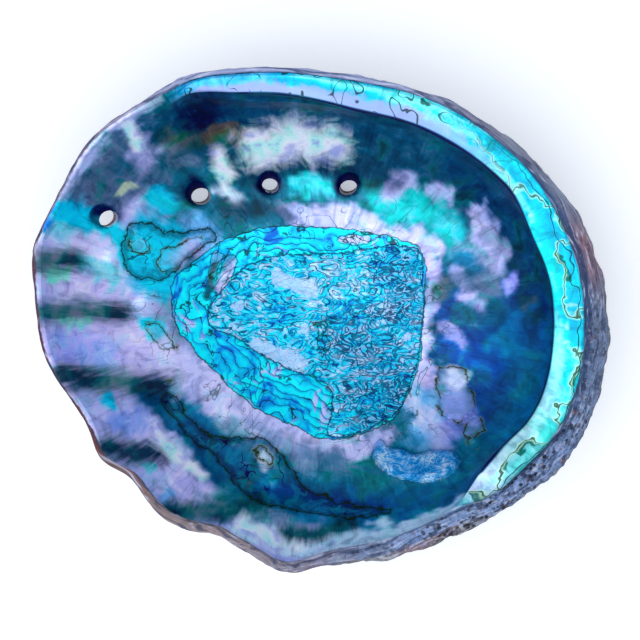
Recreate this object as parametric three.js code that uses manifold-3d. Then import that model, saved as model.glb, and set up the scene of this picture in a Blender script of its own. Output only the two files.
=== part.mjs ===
// An abalone shell lying on its back with its opening up: one grown piece, so one mesh.
// Millimetres, +Z up. The origin is on the surface that the shell rests on, under the middle of its bounding box.
// Seen from above, the head end is at -X, the spire is at +X, -Y, and the row of breathing holes runs along +Y.
import * as THREE from "three";
import { mergeVertices } from "three/addons/utils/BufferGeometryUtils.js";
import Module from "manifold-3d";

const DEG = Math.PI / 180;

// Outline, seen from above: an ellipse with a few swellings and hollows. Bearings are in degrees from +X.
const HALF_LENGTH = 94;
const HALF_WIDTH = 80.6;
const LONG_AXIS = -15.4;
const MIDDLE = { x: 0.1, y: 2.3 };
const SWELLINGS = [
  { at: 20, spread: 18, reach: 1.7 },
  { at: 84, spread: 18, reach: -2.5 },
  { at: 119, spread: 9, reach: 2.2 },
  { at: 140, spread: 10, reach: 2 },
  { at: 201, spread: 9, reach: -3.3 },
  { at: 212, spread: 4, reach: 1.2 },
  { at: 220, spread: 5, reach: -2 },
  { at: 233, spread: 7, reach: 2.2 },
  { at: 244, spread: 4, reach: -1.2 },
  { at: 262, spread: 8, reach: 4.8 },
  { at: 303, spread: 13, reach: -2.2 },
  { at: 322, spread: 8, reach: -1 },
];

// Heights and wall.
const RIM_HEIGHT = 51.5;
const SPIRE_SIDE_RISE = 1.5;
const FLOOR_THICKNESS = 5.4;
const FOOT_WEAR = 0.4; // how much of the lowest point is worn flat
const FOOT = { x: 19, y: 3 }; // the lowest point, under the centre of mass
const THIN_LIP = 1.7;
const THICK_LIP = 3.6;
const PLAN_POWER = 2.3; // over 2, so that the bottom is a little flatter than an ellipse

// The inner ledge that follows the spire side of the rim.
const LEDGE = { from: -52, to: 116, fadeFrom: 9, fadeTo: 14, width: 10.2, drop: 3.6, depth: 10 };
const WALL_UNDER_LEDGE = { top: 10.6, lower: 6.4 }; // measured in plan from the rim

// The spire, and the row of breathing holes on a spiral round it.
const SPIRE = { x: 60, y: -26 };
const SPIRAL_GROWTH = 0.93; // of the hole row, per radian
const SUTURE = { growth: 0.35, radius: 33, bearing: 262, height: 5, reach: 40 };
const HOLE_ROW = { radius: 142, bearing: 155.1, groove: 2, keel: 1, halfWidth: 7.5 };
const OPEN_HOLES = [
  { x: -70.4, y: 33.7, height: 28.5, long: 3.3, short: 2.7, turn: 10 },
  { x: -40.2, y: 41.8, height: 14.5, long: 3.3, short: 2.8, turn: 0 },
  { x: -16.8, y: 45.4, height: 10, long: 2.8, short: 2.4, turn: -20 },
  { x: 9.6, y: 45, height: 8, long: 3, short: 2.4, turn: 25 },
];
const CLOSED_HOLES = 7;
const CLOSED_HOLE_STEP = 10; // degrees round the spire
const TURRET = { height: 1.7, radius: 5.2 };

// Folds of the thin lip: each runs in from the rim and fades.
const FOLD_DEPTH = 2.6;
const FOLDS = [
  { from: [-92, 19], to: [-74, 20], halfWidth: 4 },
  { from: [-93, 0], to: [-64, 5], halfWidth: 4.5 },
  { from: [-84, -19], to: [-53, -25], halfWidth: 4.5 },
  { from: [-68, -43], to: [-52, -38], halfWidth: 4 },
  { from: [-46, -66], to: [-31, -57], halfWidth: 4 },
  { from: [-6, -78], to: [10, -68], halfWidth: 4 },
];

// The muscle scar is a low plateau in the middle of the floor, with a ridge along its spire side.
const SCAR = { x: -4, y: -5, halfLength: 39, halfWidth: 31, turn: -18, height: 1 };
const SCAR_RIDGE = { from: [35, 24], to: [29, -40], halfWidth: 3.5, height: 1.6 };
const TROUGH = { from: [-52, -28], to: [60, -60], halfWidth: 6, depth: 1.4 };
const SPIRE_BULGE = { height: 4.5, spread: 21 };

// Mesh density.
const COLUMNS = 106;
const LEDGE_ROWS = 8;
const BOWL_ROWS = 15;
const OUTSIDE_ROWS = 20;
const ROWS = LEDGE_ROWS + BOWL_ROWS + OUTSIDE_ROWS;
const HOLE_SIDES = 20;

const turned = (at, by) => ({
  x: at.x * Math.cos(by) + at.y * Math.sin(by),
  y: at.y * Math.cos(by) - at.x * Math.sin(by),
});
const mix = THREE.MathUtils.lerp;
const smooth = (x, low, high) => THREE.MathUtils.smoothstep(x, low, high);
const bell = (distance, spread) => Math.exp(-((distance / spread) ** 2));

// The signed angle from one bearing to another, in degrees, from -180 to 180.
const gap = (bearing, from) => THREE.MathUtils.euclideanModulo(bearing - from + 180, 360) - 180;

// Distance from the origin to the ellipse of the outline.
function ellipse(bearing) {
  const way = turned({ x: Math.cos(bearing * DEG), y: Math.sin(bearing * DEG) }, LONG_AXIS * DEG);
  const start = turned({ x: -MIDDLE.x, y: -MIDDLE.y }, LONG_AXIS * DEG);
  const a = (way.x / HALF_LENGTH) ** 2 + (way.y / HALF_WIDTH) ** 2;
  const b = (start.x * way.x) / HALF_LENGTH ** 2 + (start.y * way.y) / HALF_WIDTH ** 2;
  const c = (start.x / HALF_LENGTH) ** 2 + (start.y / HALF_WIDTH) ** 2 - 1;
  return (Math.sqrt(b * b - a * c) - b) / a;
}

// Distance from the origin to the outermost wall. The swellings count in full only at the rim.
function outline(bearing, fullness = 1) {
  const swell = SWELLINGS.reduce((sum, s) => sum + s.reach * bell(gap(bearing, s.at), s.spread), 0);
  return ellipse(bearing) + swell * fullness;
}

// How far the wall bulges past the rim, most of all behind the spire.
const overhang = (bearing) => 0.5 + 2 * bell(gap(bearing, 15), 60) + 4.6 * bell(gap(bearing, -43), 36);

const rimRadius = (bearing, fullness = 1) => outline(bearing, fullness) - overhang(bearing);
const rimHeight = (bearing) => RIM_HEIGHT + SPIRE_SIDE_RISE * Math.cos((bearing - 30) * DEG);

// 1 where the ledge is full, 0 where the lip is plain.
function ledgeShare(bearing) {
  const middle = (LEDGE.from + LEDGE.to) / 2;
  const half = (LEDGE.to - LEDGE.from) / 2;
  const off = gap(bearing, middle);
  const fade = off < 0 ? LEDGE.fadeFrom : LEDGE.fadeTo;
  return 1 - smooth(Math.abs(off), half - fade, half + fade);
}

// The lip is thin round the head end, and thick along the ledge and below it.
const lipThickness = (bearing) =>
  mix(THIN_LIP, THICK_LIP, Math.max(ledgeShare(bearing), 0.8 * bell(gap(bearing, -75), 30)));

// The wall flares at the head end and stands steep at the spire end.
const steepness = (bearing) => 1.45 + 0.35 * Math.cos((bearing - 20) * DEG);

// One quarter turn of a superellipse: reach and rise, as shares, at an angle of up to 180 degrees from its lowest point.
function curve(angle, power) {
  const c = Math.cos(angle);
  return {
    reach: Math.sin(angle) ** (2 / PLAN_POWER),
    rise: 1 - Math.sign(c) * Math.abs(c) ** (2 / power),
  };
}

// A point on a section: the section's own centre slides from the foot to the origin as it rises.
function placed(bearing, reach, height, low) {
  return new THREE.Vector3(
    FOOT.x * low + reach * Math.cos(bearing * DEG),
    FOOT.y * low + reach * Math.sin(bearing * DEG),
    height,
  );
}

// The outside wall, from the rim (share 0) to its lowest point (share 1).
function outside(bearing, share) {
  const widest = outline(bearing);
  const rimAngle = Math.PI - Math.asin((rimRadius(bearing) / widest) ** (PLAN_POWER / 2));
  const power = steepness(bearing);
  const at = curve(rimAngle * (1 - share), power);
  const height = (rimHeight(bearing) + FOOT_WEAR) * (at.rise / curve(rimAngle, power).rise);
  const reach = outline(bearing, at.reach ** 3) * at.reach;
  return placed(bearing, reach, height - FOOT_WEAR, (1 - at.reach) ** 2);
}

// The plain inside bowl, from its top (angle 90 degrees) to its lowest point (angle 0).
function bowl(bearing, angle) {
  const share = ledgeShare(bearing);
  const underLedge = mix(WALL_UNDER_LEDGE.lower, WALL_UNDER_LEDGE.top, smooth(angle / DEG, 55, 90));
  const wall = mix(lipThickness(bearing), underLedge, share);
  const top = rimHeight(bearing) - mix(0.4, LEDGE.depth, share);
  const at = curve(angle, steepness(bearing));
  const height = mix(FLOOR_THICKNESS, top, at.rise);
  const reach = (rimRadius(bearing, at.reach ** 3) - wall) * at.reach;
  return placed(bearing, reach, height, (1 - at.reach) ** 2);
}

const topAngle = (bearing) => mix(70, 90, ledgeShare(bearing)) * DEG;

// The ledge, as shares of its width in from the thick lip, and drops below the rim.
const LEDGE_STEPS = [
  [-0.1, 0.3],
  [0, 1.2],
  [0.1, 2.2],
  [0.5, LEDGE.drop - 0.9],
  [0.9, LEDGE.drop - 0.2],
  [1, LEDGE.drop + 0.7],
  [0.88, LEDGE.drop + 3],
];

// The inside, from the rim (row 0) to its lowest point.
function inside(bearing, row) {
  if (row === 0) return outside(bearing, 0);
  const plainTop = 90 * DEG;
  if (row >= LEDGE_ROWS) {
    return bowl(bearing, topAngle(bearing) * (1 - (row - LEDGE_ROWS) / BOWL_ROWS));
  }
  const plain = bowl(bearing, mix(plainTop, topAngle(bearing), (row - 1) / (LEDGE_ROWS - 1)));
  const [stepIn, stepDown] = LEDGE_STEPS[row - 1];
  const share = ledgeShare(bearing);
  const reach = rimRadius(bearing) - lipThickness(bearing) - stepIn * LEDGE.width * share;
  const ledge = placed(bearing, reach, rimHeight(bearing) - stepDown, 0);
  return plain.lerp(ledge, smooth(share, 0, 0.6));
}

// Distance in plan from a point to the segment between two places.
function distanceTo(p, from, to) {
  const line = new THREE.Line3(new THREE.Vector3(...from, 0), new THREE.Vector3(...to, 0));
  const flat = new THREE.Vector3(p.x, p.y, 0);
  return line.closestPointToPoint(flat, true, new THREE.Vector3()).distanceTo(flat);
}

// Polar place round the spire: radius, and bearing in degrees.
function roundSpire(p) {
  const x = p.x - SPIRE.x;
  const y = p.y - SPIRE.y;
  return { radius: Math.hypot(x, y), bearing: Math.atan2(y, x) / DEG };
}

const holeRowRadius = (bearing) =>
  HOLE_ROW.radius * Math.exp(SPIRAL_GROWTH * (bearing - HOLE_ROW.bearing) * DEG);

// 1 on the line of the breathing holes, fading to either side.
function holeRow(p) {
  const { radius, bearing } = roundSpire(p);
  const off = (radius - holeRowRadius(bearing)) * Math.cos(Math.atan(SPIRAL_GROWTH));
  return bell(off, HOLE_ROW.halfWidth) * smooth(bearing, 40, 90);
}

const closedHoles = Array.from({ length: CLOSED_HOLES }, (_, i) => {
  const bearing = 124.6 - CLOSED_HOLE_STEP * (i + 1);
  const radius = holeRowRadius(bearing);
  return {
    x: SPIRE.x + radius * Math.cos(bearing * DEG),
    y: SPIRE.y + radius * Math.sin(bearing * DEG),
    size: radius / 86,
  };
});

// What lowers the whole wall: the folds of the lip.
const foldRelief = (p) =>
  FOLDS.reduce((sum, f) => sum + FOLD_DEPTH * bell(distanceTo(p, f.from, f.to), f.halfWidth), 0);

// What moves the whole wall outwards: the hole row and the bulge of the spire.
const wallRelief = (p) =>
  HOLE_ROW.groove * holeRow(p) + SPIRE_BULGE.height * bell(roundSpire(p).radius, SPIRE_BULGE.spread);

// What raises the inside alone.
function insideRelief(p) {
  const at = turned({ x: p.x - SCAR.x, y: p.y - SCAR.y }, SCAR.turn * DEG);
  const edge = Math.hypot(at.x / SCAR.halfLength, at.y / SCAR.halfWidth);
  const plateau = SCAR.height * (1 - smooth(edge, 0.85, 1.1));
  const ridge = bell(distanceTo(p, SCAR_RIDGE.from, SCAR_RIDGE.to), SCAR_RIDGE.halfWidth);
  const trough = bell(distanceTo(p, TROUGH.from, TROUGH.to), TROUGH.halfWidth);
  return plateau + SCAR_RIDGE.height * ridge - TROUGH.depth * trough;
}

// The whorls of the spire: a groove on a spiral, with a rounded whorl between its turns.
function whorls(p) {
  const { radius, bearing } = roundSpire(p);
  const turn = 2 * Math.PI * SUTURE.growth;
  const turnsOut = Math.log((radius + 0.5) / SUTURE.radius) / turn;
  const phase = turnsOut - THREE.MathUtils.euclideanModulo(bearing - SUTURE.bearing, 360) / 360;
  const across = Math.sin(Math.PI * THREE.MathUtils.euclideanModulo(phase, 1)) ** 0.6 - 0.5;
  const height = SUTURE.height * bell(radius, SUTURE.reach) * Math.min(1, radius / 12);
  return height * (phase < 0 ? across : -0.5 * bell(phase, 0.12));
}

// What raises the outside alone: the keel and turrets of the hole row, and the whorls.
function outsideRelief(p) {
  const open = OPEN_HOLES.map((h) => ({ ...h, size: 1 }));
  const turrets = [...open, ...closedHoles].reduce(
    (sum, h) => sum + h.size * bell(Math.hypot(p.x - h.x, p.y - h.y), TURRET.radius * h.size),
    0,
  );
  return HOLE_ROW.keel * holeRow(p) + TURRET.height * turrets + whorls(p);
}

// The direction that points out of the wall: down at the foot, and more to the side towards the rim.
function outwards(p) {
  const bearing = Math.atan2(p.y, p.x);
  const lean = 75 * DEG * Math.min(1, Math.hypot(p.x, p.y) / outline(bearing / DEG)) ** 1.5;
  return new THREE.Vector3(
    Math.sin(lean) * Math.cos(bearing),
    Math.sin(lean) * Math.sin(bearing),
    -Math.cos(lean),
  );
}

// Row 0 is the lowest point inside, and the last row the lowest point outside. The rim is between them.
function surface(bearing, row) {
  const rimRow = LEDGE_ROWS + BOWL_ROWS;
  const isInside = row <= rimRow;
  const p = isInside
    ? inside(bearing, rimRow - row)
    : outside(bearing, (row - rimRow) / OUTSIDE_ROWS);
  const own = isInside ? -insideRelief(p) : outsideRelief(p);
  const fromRim = Math.min(1, Math.abs(row - rimRow) / 4); // the two sides meet at the rim
  const dip = foldRelief(p);
  p.addScaledVector(outwards(p), wallRelief(p) + own * fromRim);
  p.z -= dip;
  return p;
}

// Bearings crowd together along the folded lip, where the outline changes fastest.
const columnBearing = (share) => 360 * share - 17 * Math.sin(2 * Math.PI * share - 225 * DEG);

function shellGeometry() {
  const net = new THREE.SphereGeometry(1, COLUMNS, ROWS);
  const places = net.getAttribute("position");
  for (let row = 0; row <= ROWS; row++) {
    for (let column = 0; column <= COLUMNS; column++) {
      const isPole = row === 0 || row === ROWS;
      const share = isPole ? 0 : (column % COLUMNS) / COLUMNS;
      const p = surface(columnBearing(share), row);
      places.setXYZ(row * (COLUMNS + 1) + column, p.x, p.y, p.z);
    }
  }
  return net;
}

const wasm = await Module();
wasm.setup();

function solidOf(geometry) {
  const bare = geometry.clone();
  bare.deleteAttribute("normal");
  bare.deleteAttribute("uv");
  const merged = mergeVertices(bare, 1e-3);
  return new wasm.Manifold(
    new wasm.Mesh({
      numProp: 3,
      vertProperties: merged.getAttribute("position").array,
      triVerts: new Uint32Array(merged.index.array),
    }),
  );
}

function geometryOf(solid) {
  const mesh = solid.getMesh();
  return new THREE.BufferGeometry()
    .setAttribute("position", new THREE.BufferAttribute(new Float32Array(mesh.vertProperties), 3))
    .setIndex(new THREE.BufferAttribute(new Uint32Array(mesh.triVerts), 1));
}

// A breathing hole leaves the wall steeply, a little outwards.
function holeCutter(hole) {
  const length = 60;
  const way = outwards(hole).multiplyScalar(0.35).add(new THREE.Vector3(0, 0, -0.65)).normalize();
  const cutter = new THREE.CylinderGeometry(1, 1, length, HOLE_SIDES);
  cutter.scale(hole.long, 1, hole.short);
  cutter.rotateY(hole.turn * DEG);
  cutter.applyQuaternion(
    new THREE.Quaternion().setFromUnitVectors(new THREE.Vector3(0, -1, 0), way),
  );
  return cutter.translate(hole.x, hole.y, hole.height);
}

// Everything under the surface that the shell rests on.
function wornAway() {
  const depth = 10;
  return new THREE.BoxGeometry(100, 100, depth).translate(0, 0, -depth / 2);
}

const cutters = [...OPEN_HOLES.map(holeCutter), wornAway()];
const shellSolid = cutters.reduce(
  (solid, cutter) => solid.subtract(solidOf(cutter)),
  solidOf(shellGeometry()),
);

const shell = new THREE.Mesh(
  geometryOf(shellSolid),
  new THREE.MeshStandardMaterial({ color: 0x5fb4d2, roughness: 0.3, metalness: 0.1 }),
);
shell.name = "shell";

const abalone = new THREE.Group();
abalone.add(shell);
export default abalone;
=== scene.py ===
"""An abalone shell on its back: the pearly bowl with its scar, ledge, folds and breathing holes,
and the rough outside with its growth ridges and low spire. Lengths are in millimetres until the
last step, and bearings are in degrees from +X, anticlockwise as seen from above."""

import bmesh
import bpy
import numpy as np
from mathutils import Matrix, Vector, kdtree, noise


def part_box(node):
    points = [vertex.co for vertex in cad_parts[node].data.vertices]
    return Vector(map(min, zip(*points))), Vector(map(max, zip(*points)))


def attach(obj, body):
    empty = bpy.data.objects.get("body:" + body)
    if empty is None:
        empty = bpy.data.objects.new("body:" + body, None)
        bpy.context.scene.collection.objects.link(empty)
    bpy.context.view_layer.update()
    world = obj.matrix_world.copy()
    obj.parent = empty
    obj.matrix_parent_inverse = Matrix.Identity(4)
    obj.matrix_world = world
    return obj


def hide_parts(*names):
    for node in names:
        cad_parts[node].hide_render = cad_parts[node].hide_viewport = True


bl_info = {
    "name": "Abalone shell",
    "version": (1, 0, 0),
    "blender": (4, 5, 0),
    "location": "View3D > Sidebar > Abalone",
    "description": "Grows an abalone shell with a nacre inside and a crusted outside",
    "category": "Add Mesh",
}

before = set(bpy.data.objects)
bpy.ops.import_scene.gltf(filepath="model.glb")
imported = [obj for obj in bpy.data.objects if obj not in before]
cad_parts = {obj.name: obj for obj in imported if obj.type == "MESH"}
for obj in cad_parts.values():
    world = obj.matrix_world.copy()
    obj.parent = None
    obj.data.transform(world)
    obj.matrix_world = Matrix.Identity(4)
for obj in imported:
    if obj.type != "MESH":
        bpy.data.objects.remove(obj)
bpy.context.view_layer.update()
SHELL_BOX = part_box("shell")
MM = 0.001

# Outline: an ellipse with a few swellings and hollows.
LONG_AXIS = -15.4
MIDDLE = (0.1, 2.3)
SWELLINGS = [  # bearing, spread, reach
    (20, 18, 1.7),
    (84, 18, -2.5),
    (119, 9, 2.2),
    (140, 10, 2),
    (201, 9, -3.3),
    (212, 4, 1.2),
    (220, 5, -2),
    (233, 7, 2.2),
    (244, 4, -1.2),
    (262, 8, 4.8),
    (303, 13, -2.2),
    (322, 8, -1),
]

# Heights and wall.
SPIRE_SIDE_RISE = 1.5
FOOT = (19, 3)
FOOT_WEAR = 0.4
PLAN_POWER = 2.3
LEDGE_FROM, LEDGE_TO = -50, 119
LEDGE_FADE_FROM, LEDGE_FADE_TO = 9, 14
LEDGE_DEPTH = 10
WALL_UNDER_LEDGE_TOP, WALL_UNDER_LEDGE_LOWER = 10.6, 6.4

# The ledge, from the bowl up: shares of its width in from the thick lip, and drops below the rim.
LEDGE_STEPS = [
    (0.88, 6.8),
    (0.98, 5.2),
    (1, 4.1),
    (0.93, 3.4),
    (0.52, 2.75),
    (0.12, 2.4),
    (0.02, 1.7),
    (-0.08, 0.4),
]

# The spire, and the row of breathing holes on a spiral round it.
SPIRE = (60, -26)
SPIRAL_GROWTH = 0.93
SUTURE_GROWTH, SUTURE_RADIUS, SUTURE_BEARING, SUTURE_REACH = 0.35, 33, 262, 40
HOLE_ROW_RADIUS, HOLE_ROW_BEARING, HOLE_ROW_SPREAD = 142, 155.1, 7.5
OPEN_HOLES = [  # x, y, height of the wall there, half length, half width, turn
    (-70.4, 33.7, 28.5, 3.3, 2.7, 10),
    (-40.2, 41.8, 14.5, 3.3, 2.8, 0),
    (-16.8, 45.4, 10, 2.8, 2.4, -20),
    (9.6, 45, 8, 3, 2.4, 25),
]
LAST_OPEN_HOLE_BEARING = 124.6
CLOSED_HOLES = 7
FULL_SIZE_RADIUS = 86
CLOSED_HOLE_STEP = 10
HOLE_SIDES = 48
CUTTER_LENGTH = 60

# Folds of the thin lip, each from the rim inwards, with its half width.
FOLDS = [
    ((-92, 19), (-74, 20), 4),
    ((-93, 0), (-64, 5), 4.5),
    ((-84, -19), (-53, -25), 4.5),
    ((-68, -43), (-52, -38), 4),
    ((-46, -66), (-31, -57), 4),
    ((-6, -78), (10, -68), 4),
]

# Closed outlines on the floor of the bowl.
SCAR = [
    (-36.3, 6.8), (-31.6, 11.5), (-26.9, 17.3), (-20.5, 20.2), (-12.4, 22.5), (6.2, 22.5),
    (14.9, 23.6), (26.5, 26), (35.3, 23.3), (34.3, 14.9), (35.3, 8), (34.6, -2.4), (33.5, -11.2),
    (28.8, -25.7), (27.1, -30.4), (17.7, -36.8), (9.1, -38.8), (1.6, -39.5), (3.9, -31.5),
    (4.7, -23.4), (-2.5, -19.4), (-8.9, -17.6), (-20, -11.8), (-29.8, -4.8), (-36.8, -3.6),
    (-38.5, 1),
]  # fmt: skip
SCAR_FIELD = [
    (-49.6, 13.8), (-50.1, 8), (-48.4, -2.4), (-44.4, -7.1), (-40.3, -12.9), (-35, -17),
    (-28.7, -24), (-20.5, -30.4), (-11.2, -34.4), (-5.4, -37.3), (0.8, -40.5), (8.3, -39.5),
    (18.4, -37.2), (27.8, -31.1), (34.3, -11.9), (35.6, 8), (35.9, 23.6), (27.2, 27.5), (12, 30.1),
    (-2.5, 31.8), (-17.1, 31.8), (-26.9, 28.9), (-35.6, 24.9), (-44.4, 17.9),
]  # fmt: skip
CRESCENT = [
    (17.1, -44.7), (20, -39.5), (22, -41.2), (23.3, -43.4), (28, -42.8), (31.4, -45.4),
    (37.2, -43.4), (42.6, -42.8), (46, -44.7), (46.6, -48.8), (42.6, -51.8), (37.3, -53.7),
    (32, -54.1), (25.4, -53.1), (20.7, -50.7), (17.6, -46.8),
]  # fmt: skip
ISLANDS = [
    # the blister beside the spire pit, and the callus under it
    [(38.7, -17.6), (41.3, -15.5), (45.3, -15.2), (48.6, -18.2), (49.3, -26.8), (50.9, -29.1),
     (48, -32.2), (43.1, -34), (40, -30.8), (40.3, -27.5), (39, -22.9)],
    [(47.3, -32.9), (51.9, -32.2), (53.3, -35.5), (50.6, -36.1), (51.6, -40.1), (48.6, -41.5),
     (48.3, -36.6)],
    # islands between the folds and the scar
    [(-63.8, 26.2), (-60.8, 28.5), (-56.4, 27.8), (-56.4, 23.9), (-58.8, 21.2), (-62.1, 22.3)],
    [(-54.5, 20.6), (-52.2, 23.6), (-46.8, 24.6), (-42.2, 27.8), (-38.5, 27.2), (-42.2, 22.6),
     (-47.5, 18.6), (-51.6, 16.6), (-53.5, 17.9)],
    [(-60.4, -1.4), (-54.2, -0.7), (-50.9, -5.4), (-46.8, -10.6), (-49.6, -9.9), (-54.8, -9.3),
     (-57.4, -5.4)],
    # pearls in the trough
    [(-21.6, -43.4), (-19.4, -42.5), (-16.8, -44.1), (-15.5, -46.4), (-17.4, -48), (-20.3, -46.4)],
    [(-18.7, -53.5), (-16.1, -52.2), (-12.8, -53.2), (-14.2, -55.1), (-17.4, -55.5)],
    # a bare patch in the middle of the scar
    [(-3.1, -1.1), (1.1, 0.8), (3.4, -2.4), (0.6, -5.2), (4.8, -7.6), (2.4, -10.9), (-1.2, -7.6),
     (-0.6, -4)],
    # a small bubble beside the trough
    [(-52.5, -20.6), (-50.2, -19.9), (-49.6, -21.4), (-51.4, -22.3)],
]  # fmt: skip
POOLS = [
    # the trough, and the shelf of layers under the first hole
    [(-52.4, -24.6), (-49.7, -24), (-45.4, -29.4), (-43.2, -33.8), (-35.6, -39.2), (-24.9, -39.4),
     (-18.4, -39.6), (-12.8, -44.6), (-8.6, -51.1), (-4.2, -56.4), (3.4, -59.3), (14, -61),
     (26, -62), (14, -65), (3.4, -64.6), (-13.9, -62), (-24.9, -58.7), (-29.1, -52.2),
     (-33.4, -44.6), (-42.1, -40.2), (-46.5, -34.9), (-52.4, -27.8)],
    [(-64, 30), (-65.5, 19.4), (-62.7, 13.9), (-55, 13), (-51, 14.6), (-46.5, 19), (-40, 24),
     (-33, 29), (-40, 31), (-50, 28.5), (-58, 33)],
]  # fmt: skip
# Calm and crowded parts of the scar.
SCAR_CALM = [
    ([(-14, 14.5), (-4, 10.5)], 3.6),
    ([(-21, -9), (-8, -14)], 3.6),
    ([(-28, 5)], 2.4),
    ([(-5.5, -3.4)], 2.6),
    ([(29.4, -5.6)], 1.8),
]
BAND_GAPS = [([(-30, 20), (-33.5, 10)], 2.4), ([(-35, 22), (-38, 8)], 1.4), ([(7, 27), (16, 27)], 1.6)]
SCAR_CROWDED = [([(11, -6), (20, -14), (21, -30)], 13), ([(26, 17), (28, 2)], 9)]
SCAR_RIDGE = [(35, 24), (36.5, 8), (35, -12), (29, -34)]
TROUGH = [(-53, -25), (-42, -39), (-27, -52), (-10, -57), (10, -61), (33, -61), (52, -55)]

# Colours that strokes of pearl are laid in.
PEARL_COLOURS = {
    "cyan": (0.02, 0.83, 0.94),
    "aqua": (0.38, 0.87, 0.88),
    "foam": (0.86, 0.93, 1),
    "sky": (0.55, 0.78, 0.98),
    "blue": (0.07, 0.45, 0.82),
    "royal": (0.03, 0.3, 0.51),
    "ocean": (0.02, 0.31, 0.49),
    "lagoon": (0.12, 0.6, 0.74),
    "sea": (0.03, 0.38, 0.48),
    "teal": (0.04, 0.45, 0.56),
    "green": (0.09, 0.45, 0.45),
    "mint": (0.52, 0.93, 0.78),
    "straw": (0.86, 0.89, 0.7),
    "lavender": (0.83, 0.8, 1),
    "lilac": (0.82, 0.82, 1),
    "violet": (0.67, 0.69, 1),
    "bluebell": (0.48, 0.62, 0.9),
    "pearl": (0.8, 0.83, 0.95),
    "dusk": (0.37, 0.44, 0.5),
    "ash": (0.46, 0.56, 0.66),
    "slate": (0.22, 0.46, 0.5),
    # wall and deep are laid as painted shade on the wall under the ledge; ink is laid as painted shade round
    # the holes and on that wall, and as dark spots in the trough
    "wall": (0.19, 0.35, 0.4),
    "deep": (0.1, 0.27, 0.34),
    "ink_and_shade": (0.04, 0.13, 0.17),
    "bottle": (0.16, 0.24, 0.24),
    "olive": (0.3, 0.34, 0.24),
    "umber": (0.33, 0.27, 0.14),
}

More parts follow.
